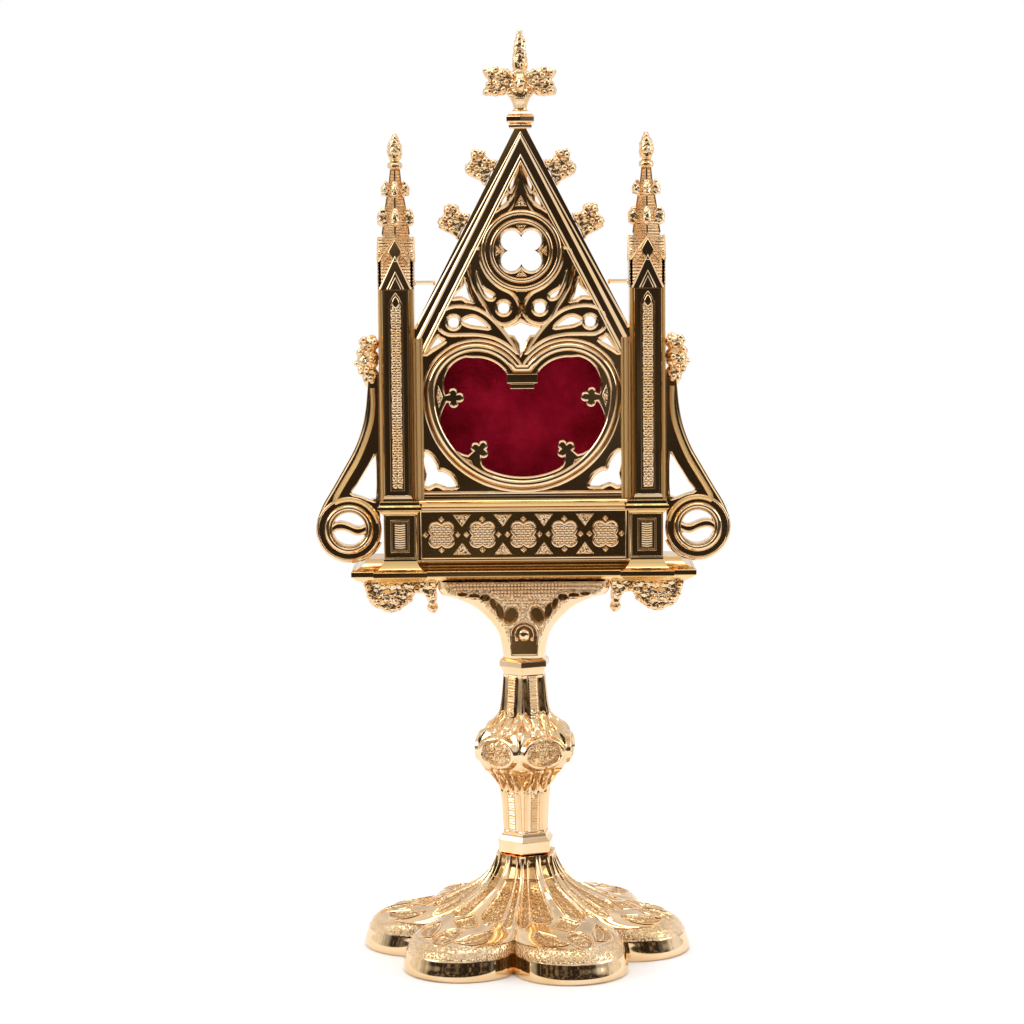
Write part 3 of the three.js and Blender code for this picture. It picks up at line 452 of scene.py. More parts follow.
def ranged(tree, value, low=0.0, high=1.0, start=0.0, end=1.0, passage='LINEAR'):
    """A value between low and high brought to between start and end."""
    inputs = {"Value": value, "From Min": low, "From Max": high, "To Min": start, "To Max": end}
    return add_node(tree, 'MapRange', inputs, interpolation_type=passage).outputs["Result"]


def blended(tree, share, first, second):
    """Two colours mixed; 6 and 7 are the Mix node's colour inputs and 2 its colour output."""
    inputs = {"Factor": share, 6: first, 7: second}
    return add_node(tree, 'Mix', inputs, data_type='RGBA').outputs[2]


def ramped(tree, value, *stops):
    """Colours along a value, as two stops of (position, colour)."""
    node = add_node(tree, 'ValToRGB', {"Fac": value})
    for element, (position, colour) in zip(node.color_ramp.elements, stops):
        element.position = position
        element.color = (*colour, 1)
    return node.outputs["Color"]


def bumped(tree, height, distance, under={}):
    """A bump of a depth in millimetres, laid over the normal given as under."""
    inputs = {"Height": height, "Distance": distance * MM, **under}
    return add_node(tree, 'Bump', inputs).outputs["Normal"]


def new_group(name, inputs, output, kind):
    """A node group with named inputs and one output, and the sockets of its inputs."""
    group = bpy.data.node_groups.new(name, 'ShaderNodeTree')
    for label, value in inputs.items():
        socket_type = 'NodeSocketColor' if isinstance(value, tuple) else 'NodeSocketFloat'
        socket = group.interface.new_socket(label, in_out='INPUT', socket_type=socket_type)
        socket.default_value = value
    group.interface.new_socket(output, in_out='OUTPUT', socket_type=kind)
    return group, group.nodes.new('NodeGroupInput').outputs


def put_out(group, socket):
    group.links.new(socket, group.nodes.new('NodeGroupOutput').inputs[0])
    return group


def make_stipple():
    """Punched ground: rows of small round dents, as a height."""
    group, given = new_group("punched_ground", {"Spacing": 1400.0}, "Height", 'NodeSocketFloat')
    place, spacing = on_object(group), given["Spacing"]
    cells = add_node(group, 'TexVoronoi', {"Vector": place, "Scale": spacing}, feature='F1')
    dots = ranged(group, cells.outputs["Distance"], 0.62, 0.1, passage='SMOOTHSTEP')
    grain = noise(group, place, spacing, 3.0)
    return put_out(group, calculated(group, 'MULTIPLY_ADD', grain, 0.25, dots))


def make_tone():
    """Slow change of tone in the plating, from pale to warm."""
    white = (1.0, 1.0, 1.0, 1.0)
    group, given = new_group("plating_tone", {"Pale": white, "Warm": white, "Scale": 60.0},
                             "Color", 'NodeSocketColor')
    cloud = noise(group, on_object(group), given["Scale"], 5.0, 0.6)
    share = ranged(group, cloud, 0.35, 0.7)
    return put_out(group, blended(group, share, given["Pale"], given["Warm"]))


def make_lines():
    """Fine engraved lines across Z, as a height."""
    group, given = new_group("engraved_lines", {"Rows": 900.0}, "Height", 'NodeSocketFloat')
    split = add_node(group, 'SeparateXYZ', {0: on_object(group)})
    rows = calculated(group, 'MULTIPLY', split.outputs["Z"], given["Rows"])
    return put_out(group, calculated(group, 'SINE', rows))


stipple_group = make_stipple()
tone_group = make_tone()
lines_group = make_lines()

PALE_GOLD = (0.92, 0.7, 0.46, 1)
WARM_GOLD = (0.86, 0.58, 0.29, 1)
RICH_GOLD = (0.86, 0.59, 0.24, 1)
# Colour of the painted shade laid into sunk places of the gilding
PAINTED_SHADE_GOLD = (0.55, 0.29, 0.07, 1)
PUNCHED_ROUGHNESS = 0.24
ENGRAVED_PITCH = 0.0011


def new_material(name, inputs):
    material = bpy.data.materials.new(name)
    material.use_nodes = True
    tree = material.node_tree
    return material, tree, give(tree, tree.nodes["Principled BSDF"], inputs)


def gold(name, roughness, matte, depth, spacing=1500.0, pale=PALE_GOLD, line_depth=0.0):
    """Gold plate: polished, punched where the matte mask says or all over, and lined if asked, with
    painted shade darkening its sunk places.
    """
    material, tree, shader = new_material(name, {"Metallic": 1.0})
    tones = {"Pale": pale, "Warm": WARM_GOLD, "Scale": 70.0}
    tone = add_node(tree, 'Group', tones, node_tree=tone_group)
    # Painted shade: the base colour darkens towards the shade gold where sunk places are marked
    sunk = add_node(tree, 'Attribute', attribute_name="painted_recess_shade").outputs["Fac"]
    mask = add_node(tree, 'Attribute', attribute_name="matte").outputs["Fac"]
    cover = calculated(tree, 'MAXIMUM', mask, matte)
    ground = add_node(tree, 'Group', {"Spacing": spacing}, node_tree=stipple_group)
    height = calculated(tree, 'MULTIPLY', ground.outputs["Height"], cover)
    normal = bumped(tree, height, depth)
    if line_depth:
        rows = 2 * math.pi / ENGRAVED_PITCH
        engraved = add_node(tree, 'Group', {"Rows": rows}, node_tree=lines_group)
        normal = bumped(tree, engraved.outputs["Height"], line_depth, {"Normal": normal})
    give(tree, shader, {
        "Base Color": blended(tree, sunk, tone.outputs["Color"], PAINTED_SHADE_GOLD),
        "Roughness": ranged(tree, cover, start=roughness, end=PUNCHED_ROUGHNESS),
        "Normal": normal})
    return material


polished = gold("polished_gilding", 0.07, 0.0, 0.42, spacing=1400.0)
rich = gold("rich_gilding", 0.09, 0.0, 0.3, pale=RICH_GOLD)
satin = gold("satin_gilding", 0.42, 0.0, 0.3, pale=RICH_GOLD)
punched = gold("punched_gilding", 0.2, 1.0, 0.28)
lined = gold("lined_gilding", 0.18, 0.25, 0.12, line_depth=0.22)
leafwork = gold("leafwork_gilding", 0.12, 0.25, 0.3, spacing=1200.0)


def make_glass():
    material, tree, shader = new_material("clear_pane", {
        "Base Color": (0.97, 0.99, 0.98, 1), "Transmission Weight": 1.0, "IOR": 1.1, "Metallic": 0.0})
    smear = noise(tree, on_object(tree), 90.0)
    give(tree, shader, {"Roughness": ranged(tree, smear, start=0.0, end=0.03)})
    return material


def make_velvet():
    material, tree, shader = new_material("crimson_velvet", {
        "Roughness": 0.9, "Sheen Weight": 0.35, "Sheen Roughness": 0.4,
        "Sheen Tint": (0.8, 0.15, 0.25, 1), "Specular IOR Level": 0.1})
    place = on_object(tree)
    cloud = noise(tree, place, 75.0, 6.0, 0.65)
    pile = noise(tree, place, 2600.0)
    colour = ramped(tree, cloud, (0.32, (0.3, 0.0, 0.012)), (0.68, (0.72, 0.012, 0.055)))
    give(tree, shader, {"Base Color": colour, "Normal": bumped(tree, pile, 0.25)})
    return material


clear_pane = make_glass()
crimson = make_velvet()


# Foot

foot_profile = [
    (55.4, 0.06), (56.7, 0.08), (57.28, 0.6), (57.46, 1.3), (57.2, 3.0), (56.4, 5.6), (56.0, 7.0),
    (55.3, 7.5), (54.9, 8.6), (54.0, 9.7), (52.6, 10.7), (51.4, 11.2), (50.9, 11.6), (48.4, 12.2),
    (41.3, 13.6), (36, 15), (30.7, 16.5), (27.2, 18), (23.7, 19.7), (20, 21.5), (16.6, 23.6),
    (13.1, 27.1), (11, 30.7), (9.9, foot_top),
]
foot_inside = [(55.4, 0), (55.4, 2), (53.8, 6.1), (40.3, 11.6), (23, 17.4), (12, 24.5), (7.6, 28.3)]
neck = foot_profile[-1][0]
rim_top, plane_edge = 7.1, 11.4
rim_run = 11.2
foot_rows = 130
foot_columns = 112
# The panels of a lobe: the oval and the kite on its middle line, and the leaf round its edge,
# with the distance and the angles from the middle of the lobe
oval_x, kite_x = 45.8, 34.8
leaf_out, leaf_turn, leaf_spread = 11.3, 66, 40
# Pointed panels on each half lobe: lean, start, end, widest place and half width
foot_lancets = ((12.5, 9.0, 32.6, 28.0, 3.6), (24.5, 9.0, 33.5, 28.5, 1.5))
valley_turn = math.radians(30) + math.asin(lobe_centre * 0.5 / lobe_radius)


def measured(profile):
    """The profile smoothed, with the length run along it before each point."""
    line = curved(profile, 5, closed=False)
    run = 0.0
    rows = [(0.0, *line[0])]
    for (r0, z0), (r1, z1) in zip(line, line[1:]):
        run += math.hypot(r1 - r0, z1 - z0)
        rows.append((run, r1, z1))
    return rows


foot_run = measured(foot_profile)
foot_radii = [(s, r) for s, r, z in foot_run]
foot_levels = [(s, z) for s, r, z in foot_run]
foot_skin = sorted((r, z) for s, r, z in foot_run if z > plane_edge - 1)


def painted_recess_shade(relief):
    """How much painted shade darkens the plating in a sunk place."""
    return 0.7 * step(-0.1, -0.65, relief)


def lobing(radius):
    """How far the plan has gone from the hexagon of the neck to the six lobes."""
    return min(1.0, max(0.0, (radius - neck) / (foot_reach - neck)) ** 0.55)


def lobe_reach(radius, bearing, share):
    lobed = (lobe_centre * math.cos(bearing)
             + math.sqrt(lobe_radius ** 2 - (lobe_centre * math.sin(bearing)) ** 2)) / foot_reach
    return radius * mix(1 / math.cos(bearing), lobed, share)


def lancet_half(run, end, widest, half_most):
    """Half the width of a pointed panel at a run from the middle of the foot."""
    if run < widest:
        return half_most * run / widest
    return half_most * math.sqrt(max(0.0, 1 - ((run - widest) / (end - widest)) ** 2))


def foot_relief(x, y, height):
    """Relief and matte mask of one lobe; x runs out along its middle and y across."""
    if height < plane_edge:
        matte = step(rim_top, rim_top + 0.6, height) * step(plane_edge, plane_edge - 0.4, height)
        return 0.12 * matte, matte
    y = abs(y)
    relief, matte = 0.0, 0.0
    oval = math.hypot((x - oval_x) / 5.9, y / 4.0)
    if oval < 1.3:
        inside = step(1.0, 0.88, oval)
        petals = 0.5 + 0.5 * math.cos(5 * math.atan2(y, x - oval_x) + 8 * oval)
        relief += inside * (0.55 * petals * ridge(oval - 0.5, 0.42) + 0.5 * ridge(oval, 0.25) - 0.6)
        matte = max(matte, inside)
    out = math.hypot(x - lobe_centre, y) - leaf_out
    around = math.degrees(math.atan2(y, x - lobe_centre))
    share = (around - leaf_turn) / leaf_spread
    if abs(share) < 1:
        across = abs(out) / max(3.1 * (1 - share * share), 0.01)
        inside = step(1.0, 0.72, across)
        veins = 0.5 + 0.5 * math.cos(around * 0.95 + 2.2 * out)
        relief += inside * (0.4 * ridge(out, 0.6) + 0.18 * veins - 0.6)
        matte = max(matte, inside)
    kite = y / 5.2 + abs(x - kite_x) / 4.8
    if kite < 1.3:
        inside = step(1.0, 0.82, kite)
        petals = 0.6 + 0.4 * math.cos(5 * math.atan2(y, x - kite_x))
        relief += inside * (0.6 * petals * ridge(math.hypot(x - kite_x, y), 2.4) - 0.5)
        matte = max(matte, inside)
    for lean, low, end, widest, half_most in foot_lancets:
        run, side = swung(x, y, -lean)
        if low < run < end + 1.2:
            edge = abs(side) - lancet_half(run, end, widest, half_most)
            begun = step(low, low + 1, run)
            inside = step(0.0, -0.55, edge) * begun
            veins = 0.5 + 0.5 * math.cos(2.4 * run + 2.5 * abs(side))
            leaf = (0.22 * ridge(side, 0.6) + 0.16 * veins) * step(17, 24, run)
            relief += 0.2 * ridge(edge - 0.35, 0.5) * begun + inside * (leaf - 0.6)
            matte = max(matte, inside * step(14, 17, run))
    return relief, matte


def foot_row(share):
    """Radius, height, outward slope and whether it is the outer wall, from the inner neck round
    the rim to the outer neck."""
    inside_share, rim_share = 8 / foot_rows, 23 / foot_rows
    if share < inside_share:
        at = (1 - share / inside_share) * (len(foot_inside) - 1)
        i = min(int(at), len(foot_inside) - 2)
        (r0, z0), (r1, z1) = foot_inside[i], foot_inside[i + 1]
        return mix(r0, r1, at - i), mix(z0, z1, at - i), (0.0, 0.0), False
    if share < rim_share:
        run = rim_run * (share - inside_share) / (rim_share - inside_share)
    else:
        run = mix(rim_run, foot_run[-1][0], (share - rim_share) / (1 - rim_share))
    near, far = run + 0.4, run - 0.4
    dr = along(foot_radii, near) - along(foot_radii, far)
    dz = along(foot_levels, near) - along(foot_levels, far)
    size = math.hypot(dr, dz) or 1
    return along(foot_radii, run), along(foot_levels, run), (dz / size, -dr / size), True


def on_foot(x, y):
    """The place on the outer skin over a point of a lobe's plan."""
    bearing, reach = math.atan2(y, x), math.hypot(x, y)
    low, high = neck, foot_reach
    for i in range(20):
        radius = (low + high) / 2
        if lobe_reach(radius, bearing, lobing(radius)) < reach:
            low = radius
        else:
            high = radius
    return x, y, along(foot_skin, radius) + 0.08


def panel_rims():
    """Round rims along the panels of one lobe."""
    shares = [i / 9 for i in range(-9, 10)]
    leaf = [(side * 3.7 * (1 - s * s), math.radians(leaf_turn + leaf_spread * s))
            for side, turns in ((1, shares), (-1, shares[-2:0:-1])) for s in turns]
    half = [[(lobe_centre + (leaf_out + out) * math.cos(t), (leaf_out + out) * math.sin(t))
             for out, t in leaf]]
    for lean, low, end, widest, half_most in foot_lancets:
        runs = [mix(13.5, end, i / 18) for i in range(19)]
        line = [(run, lancet_half(run, end, widest, half_most) + 0.3) for run in runs]
        line += [(run, -side) for run, side in reversed(line)]
        half.append([swung(run, side, lean) for run, side in line])
    turns = [t * math.pi / 16 for t in range(32)]
    oval = [(oval_x + 6.4 * math.cos(t), 4.35 * math.sin(t)) for t in turns]
    corners = [(kite_x + 5.2, 0), (kite_x, 5.6), (kite_x - 5.2, 0), (kite_x, -5.6)]
    kite = [(mix(a[0], b[0], i / 4), mix(a[1], b[1], i / 4))
            for a, b in zip(corners, corners[1:] + corners[:1]) for i in range(4)]
    lines = half + [[(x, -y) for x, y in line] for line in half] + [oval, kite]
    return tube([[on_foot(x, y) for x, y in line] for line in lines], 0.26, polished, True, 1)


def make_foot():
    table = [foot_row(i / foot_rows) for i in range(foot_rows + 1)]

    def place(u, v):
        lobe, share = sixth(u)
        around = mix(-valley_turn, valley_turn, share)
        bearing = math.atan2(lobe_radius * math.sin(around),
                             lobe_centre + lobe_radius * math.cos(around))
        radius, height, (out, up), outer = table[round(v * foot_rows)]
        reach = lobe_reach(radius, bearing, 1.0 if height <= plane_edge else lobing(radius))
        relief, matte = 0.0, 0.0
        if outer:
            relief, matte = foot_relief(reach * math.cos(bearing), reach * math.sin(bearing), height)
            reach += relief * out * step(neck, neck + 1.2, radius)
            height += relief * up
        turn = bearing + lobe * math.pi / 3 + stand_turn
        # The last value is painted shade, darker where the relief sinks
        return reach * math.cos(turn), reach * math.sin(turn), height, matte, painted_recess_shade(relief)

    rims = moved(panel_rims(), Matrix.Rotation(stand_turn, 4, 'Z'))
    skin = wrapped(foot_columns * 6, foot_rows, place, polished)
    finished("lobed_foot", [skin, *all_round(rims, 6)], ["foot"], angle=50)


# Collars and stem

def make_foot_collar():
    body = turned(raised([(9.3, 0), (10.2, 0.5), (10.4, 1.2)], foot_top)
                  + raised([(10.4, -2.6), (10.0, -2.3), (9.3, -1.3), (9.1, -0.9), (8.8, 0)], stem_low),
                  6, polished, stand_turn)
    line = turned(raised([(10.1, -2.9), (10.6, -2.7), (10.1, -2.5)], stem_low), 6, polished, stand_turn)
    finished("lower_collar", [softened(body, 0.18, 3), line], ["foot_collar"])


def make_head_collar():
    body = turned(raised([(8.0, 0), (8.2, 0.9), (8.8, 2.0), (9.3, 2.8)], stem_high)
                  + raised([(9.4, -3.2), (9.4, -1.3), (9.0, -1.0), (8.0, -0.4), (7.9, 0)], console_low),
                  6, polished, stand_turn)
    finished("upper_collar", [softened(body, 0.18, 3)], ["head_collar"])


stem_profile = [
    (0, 8.3), (10.5, 8.9), (14.3, 9.5), (17.5, 10.5), (21.2, 13.3), (23, 15.4), (26, 17.2),
    (28.5, 17.7), (32.5, 17.7), (35.5, 16.6), (37.5, 15), (39.2, 12.6), (42, 10), (46.5, 8.9),
    (53.5, 8.1), (56.3, 8.0),
]
stem_smooth = curved(stem_profile, 6, closed=False)
stem_columns, stem_rows = 50, 260
medallion_rise = 30.0
rung_pitch = 0.95


def stem_relief(side, rise):
    """Relief and matte mask of one face of the stem; side runs across it and rise up from its foot."""
    side = abs(side)
    relief, matte = 0.0, 0.0
    shaft = max(step(0.4, 1.0, rise) * step(15.5, 14.0, rise),
                step(40.5, 42.5, rise) * step(56.0, 55.2, rise))
    if shaft > 0:
        rungs = 0.5 + 0.5 * math.cos(2 * math.pi * rise / rung_pitch)
        relief += shaft * (0.35 * step(2.0, 1.6, side) + 0.3 * rungs * step(1.5, 1.2, side))
        relief -= shaft * 0.3 * step(1.9, 2.2, side) * step(3.9, 3.5, side)
    dz = rise - medallion_rise
    oval = math.hypot(side / 8.2, dz / 5.9)
    if oval < 1.2:
        turn = math.atan2(dz, side)
        petals = 0.5 + 0.5 * math.cos(8 * turn + 3 * math.sin(3 * turn))
        inside = step(0.78, 0.7, oval)
        bezel = step(1.06, 0.93, oval)
        relief += 1.5 * bezel - 1.35 * inside
        relief += inside * (0.9 * petals * ridge(oval - 0.42, 0.3) + 0.7 * ridge(oval, 0.2))
        matte = max(matte, 0.8 * inside)
    for level, tall in ((dz - 9.6, 3.6), (dz + 10.4, 4.6)):
        for centre, wide in ((0.0, 1.5), (3.1, 1.25)):
            lean = side - centre - 0.12 * abs(level) * (centre > 0)
            bud = math.hypot(lean / wide, level / (tall * (0.75 if centre else 1)))
            relief += 0.9 * ridge(bud, 1.05) - 0.3 * ridge(bud - 1.2, 0.28) - 0.4 * ridge(bud, 0.35)
    return relief, matte


def make_stem():
    def place(u, v):
        face, share = sixth(u)
        share = 2 * share - 1
        rise = v * (stem_high - stem_low)
        radius = along(stem_smooth, rise)
        half = radius / 2
        side = share * half
        relief, matte = stem_relief(side, rise)
        relief *= 1 - step(0.93, 1.0, abs(share))
        # Small point on each corner over the medallions
        point = step(1.0, 0.2, (half - abs(side)) / 1.6 + abs(rise - medallion_rise - 6.5) / 4.5)
        out = radius * math.cos(math.radians(30)) + relief + 0.6 * point
        turn = face * math.pi / 3 + stand_turn
        x = out * math.cos(turn) - side * math.sin(turn)
        y = out * math.sin(turn) + side * math.cos(turn)
        # The last value is painted shade, darker where the relief sinks
        return x, y, stem_low + rise, matte, painted_recess_shade(relief)

    skin = wrapped(stem_columns * 6, stem_rows, place, polished)
    finished("knopped_stem", [skin], ["stem"], angle=50)


# Console

console_profile = [
    (0, 7.3), (5.2, 8.1), (8.9, 9.2), (12.4, 11.5), (15.9, 14.8), (17.7, 17.1), (19.4, 20),
    (21.2, 24.4), (22.2, 28.2), (24.2, 29.7), (26.2, 29.9), (27.1, 29.9),
]
console_smooth = curved(console_profile, 5, closed=False)
# Slots between the fingers of the leaf: side, rise, half width, half height and lean
leaf_slots = [
    (4.6, 15.4, 2.3, 3.1, -20), (8.4, 16.9, 1.15, 2.9, 15), (10.6, 19.5, 0.95, 1.9, 20),
    (13.4, 21.7, 1.5, 1.1, 0), (17.2, 22.3, 1.7, 0.8, 0), (21.2, 22.9, 1.6, 0.5, 0),
]
console_band = 2.4


def console_relief(side, rise):
    """Relief of the console's front, its matte mask and how far a slot is open there."""
    side = abs(side)
    half = along(console_smooth, rise)
    slope = along(console_smooth, rise + 0.3) - along(console_smooth, rise - 0.3)
    inset = (half - side) / math.hypot(1, slope / 0.6)
    if inset < console_band:
        return 1.3 * (inset / console_band - 1), 0.0, 0.0
    field = max(step(4.6, 4.2, side - 0.08 * rise) * step(8.9, 8.2, rise),
                step(4.5, 4.1, math.hypot(side, rise - 8.3)) * step(8.0, 8.3, rise))
    slots = field * step(1.0, 1.5, rise)
    rims = 0.0
    for x, z, half_width, half_height, lean in leaf_slots:
        across, up = swung(side - x, rise - z, lean)
        oval = math.hypot(across / half_width, up / half_height)
        slots = max(slots, step(1.08, 0.88, oval))
        rims = max(rims, ridge(oval - 1.25, 0.3))
    web = step(console_band, console_band + 0.5, inset) * step(4, 8, rise)
    return 0.35 * rims * (1 - slots) + 0.3 * web, web * (1 - slots), slots


def console_front(rise):
    """How far the front stands out, growing from the neck to the top with the width."""
    neck_half, top_half = console_profile[0][1], console_profile[-1][1]
    share = (along(console_smooth, rise) - neck_half) / (top_half - neck_half)
    return mix(7.3, 9.5, math.sqrt(min(1.0, max(0.0, share))))


def round_the_square(share):
    """A place on the unit square, with most of the run spent on its front side."""
    front_end, right_end, back_end = 0.66, 0.72, 0.94
    if share < front_end:
        return mix(-1, 1, share / front_end), -1.0
    if share < right_end:
        return 1.0, mix(-1, 1, (share - front_end) / (right_end - front_end))
    if share < back_end:
        return mix(1, -1, (share - right_end) / (back_end - right_end)), 1.0
    return -1.0, mix(1, -1, (share - back_end) / (1 - back_end))


def make_console():
    columns, rows = 480, 130
    height = console_high - console_low
    slot_floor = -7.1

    def place(u, v):
        rise = v * height
        across, deep = round_the_square(u)
        power = mix(4.5, 11, step(0, 24, rise))
        shrink = (abs(across) ** power + abs(deep) ** power) ** (-1 / power)
        x = along(console_smooth, rise) * across * shrink
        y = console_front(rise) * deep * shrink
        relief, matte, slot = console_relief(x, rise)
        front = step(0.25, 0.6, -deep * shrink)
        y -= relief * front
        y = mix(y, max(y, slot_floor), slot * front)
        # The last value is painted shade in the open slots of the leaf
        return x, y, console_low + rise, matte * front, 0.5 * slot * front

    def on_front(x, rise, out=0.1):
        return x, -console_front(rise) - out, console_low + rise

    parts = [wrapped(columns, rows, place, polished),
             painted(lump((2.1, 1.8, 2.3), on_front(0, 8.4, -0.4)), polished)]
    arches = (
        ([(-4.6, 5.0), (-4.9, 8.4), (-4.2, 10.8), (-2.6, 12.5), (0, 13.2)], 0.5),
        ([(-2.7, 6.8), (-3.2, 8.8), (-2.5, 10.6), (-1.2, 11.5), (0, 11.8)], 0.28),
    )
    for points, radius in arches:
        line = curved(points + flipped(points[:-1]), 4, closed=False)
        parts.append(tube([[on_front(x, z) for x, z in line]], radius, polished))
    for side in (-1, 1):
        parts.append(painted(lump((0.7, 0.7, 0.7), on_front(side * 2.7, 6.8), 2), polished))
    # Rows of beads: rise and reach to each side
    for rise, reach in ((26.2, 27), (25.0, 24.5), (23.8, 11.5), (22.6, 10.5), (21.4, 9.0),
                        (20.2, 7.0), (19.0, 4.5)):
        count = int(2 * reach / 1.15)
        spots = [on_front(mix(-reach, reach, (i + 0.5) / count), rise, 0.4) for i in range(count)]
        parts += studs(spots, 0.52, polished, 1.0)
    finished("leaf_console", parts, ["console"], angle=50)


# Plinth

foil_pitch = 14.15
frieze_z = console_high + 8.4 + 15.9 / 2
plinth_front = -8.5


def quatrefoil(x, z, half):
    lobe = half * 0.54
    spread = half - lobe
    points = []
    for turn, side_x, side_z in ((45, 1, 1), (135, -1, 1), (225, -1, -1), (315, 1, -1)):
        centre = (x + spread * side_x, z + spread * side_z)
        points += arc(centre, lobe, turn - 97, turn + 97, 9)
    return points


def scale_places(x, z, y):
    """Staggered rows of scales that fill a quatrefoil of the frieze."""
    spots = []
    for row in range(-4, 5):
        for column in range(-4, 5):
            dx, dz = (column + 0.5 * (row % 2)) * 1.55, row * 0.86
            lobes = min(math.hypot(abs(dx) - 2.1, abs(dz) - 2.1), math.hypot(dx, dz) - 1.2)
            if lobes < 1.65:
                spots.append((x + dx, y, z + dz))
    return spots


def rectangle(x, z, half_x, half_z):
    return [(x + half_x * i, z + half_z * j) for i, j in ((-1, -1), (1, -1), (1, 1), (-1, 1))]


def make_plinth():
    low, top, front = console_high, plinth_top, plinth_front
    sill = raised([(1.4, 0), (3.2, 1.0), (4.6, 2.1), (5.0, 2.3), (5.0, 4.0), (4.6, 4.3), (3.4, 4.6),
                   (2.3, 5.2), (1.3, 6.0), (0.5, 7.0), (0.0, 8.2)], low)
    crown = [(0.0, low + 7.9)] + raised([(0.0, -3.8), (0.5, -3.4), (1.0, -2.5), (2.0, -2.1),
                                         (2.2, -0.9), (1.6, -0.5), (1.2, 0)], top)
    parts = [
        moulded(54.5, 7.0, sill, rich), moulded(pedestal_x, -front - 1.2, crown, rich),
        plate([rectangle(0, frieze_z, 37.2, 9.6), rectangle(0, frieze_z, 35.1, 7.95)],
              front - 0.3, front + 1.4, polished, 0.55, 3),
        bead([rectangle(0, frieze_z, 36.4, 8.9)], 0.35, front - 0.3, polished),
    ]
    for i in range(5):
        x = (i - 2) * foil_pitch
        parts += [plate([quatrefoil(x, frieze_z, 4.6)], front + 0.1, front + 1.4, punched, 0.35, 2),
                  bead([quatrefoil(x, frieze_z, 4.3)], 0.28, front + 0.1, polished)]
        parts += studs(scale_places(x, frieze_z, front + 0.05), 0.62, polished, 0.6)
        for dx, dz in ((5.5, 0), (-5.5, 0), (0, 5.3), (0, -5.3)):
            diamond = [(x + dx + a, frieze_z + dz + b)
                       for a, b in ((-1.1, 0), (0, -1.1), (1.1, 0), (0, 1.1))]
            parts.append(plate([diamond], front - 0.1, front + 1.8, punched, 0.72))
    for i in range(4):
        x = (i - 1.5) * foil_pitch
        for side in (-1, 1):
            flat, tip = frieze_z + side * 7.0, frieze_z + side * 2.7
            parts.append(plate([[(x - 3.2, flat), (x, tip), (x + 3.2, flat)]],
                               front + 0.1, front + 1.4, punched, 0.5, 2))
    for side in (-1, 1):
        parts += make_pedestal(side * pedestal_x, low, top)
    parts += both_sides(make_corbel(low))
    finished("moulded_plinth", parts, ["plinth"])


def make_pedestal(x, low, top):
    half = 2.0 - plinth_front
    front = -half
    body = raised([(2.0, 0.6), (3.0, 1.6), (3.7, 2.3), (3.7, 4.0), (3.1, 4.4), (2.3, 4.7), (1.5, 5.3),
                   (0.8, 6.2), (0.3, 7.3), (0.0, 8.4)], low)
    body += raised([(0.0, -4.8), (0.5, -4.4), (1.2, -3.4), (2.0, -3.0), (2.0, -1.8), (1.4, -1.4),
                    (1.2, 0)], top)
    parts = [moulded(5.6, half, body, rich, x)]
    # Frames: outer and inner half sizes, how far they stand out and their edges
    for outer, inner, proud, edge, rounds in (
            ((5.55, 8.0), (5.0, 7.45), 0.35, 0.25, 2), ((3.3, 5.7), (2.6, 5.0), 0.55, 0.25, 2),
            ((2.2, 4.7), (1.75, 4.25), 0.4, 0.15, 1)):
        parts.append(plate([rectangle(x, frieze_z, *outer), rectangle(x, frieze_z, *inner)],
                           front - proud, front + 0.4, polished, edge, rounds))
    for i in range(11):
        z = frieze_z - 3.9 + 0.78 * i
        rung = [(x - 1.8, front - 0.02, z), (x, front - 0.22, z - 0.25), (x + 1.8, front - 0.02, z)]
        parts.append(tube([rung], 0.25, polished, rounds=1))
    return parts


def make_corbel(low):
    body = [(31.0, 1.0), (54.4, 1.0), (55.2, -2.2), (54.2, -5.6), (51.5, -9.2), (47.5, -11.0),
            (43.5, -10.6), (40.2, -8.0), (38.2, -5.2), (36.0, -4.2), (34.2, -5.4), (33.0, -8.0),
            (31.4, -9.0), (30.3, -7.2), (30.6, -3.0)]
    mass = [plate([raised(curved(body, 3), low)], -5.2, 5.2, leafwork, 1.2, 3),
            lump((7.0, 6.3, 4.2), (47.5, 0, low - 5.6), 3, 18),
            lump((2.0, 2.4, 2.0), (31.9, 0, low - 10.0)),
            lump((8.5, 6.1, 2.1), (45.5, 0, low - 1.2), 3, 4)]
    rim = curved([(37.2, -3.0), (39.6, -6.4), (43.5, -9.2), (47.5, -9.8), (51.2, -8.2), (53.6, -5.0),
                  (54.0, -2.2)], 3, closed=False)
    vein = curved([(39.5, -2.2), (43.5, -4.2), (47.0, -6.6), (50.5, -5.6)], 3, closed=False)
    spots = [(x, side * 5.3, low + z) for x, z in rim + vein for side in (-1, 1)]
    spots += [(x, side * 6.2, low - 5.0 - 2.0 * math.cos(x))
              for x in (42.5, 44.5, 46.5, 48.5, 50.5) for side in (-1, 1)]
    return beaded_leaf(mass, 0.3, 2.2, 0.8, spots[::3], 1.1, 0.9)


# Shrine front

def window_line(inset):
    """The window drawn inward by an inset: two arches over one wide circle."""
    low = window_radius - inset
    arch = arch_radius - inset
    offset = window_radius - arch_radius
    valley = math.degrees(math.acos(offset / arch_radius))
    points = arc((0, window_z), low, 180, 360, 48)[:-1]
    points += arc((offset, window_z), arch, 0, 180 - valley, 24)
    points += arc((-offset, window_z), arch, valley, 180, 24)[:-1]
    return points


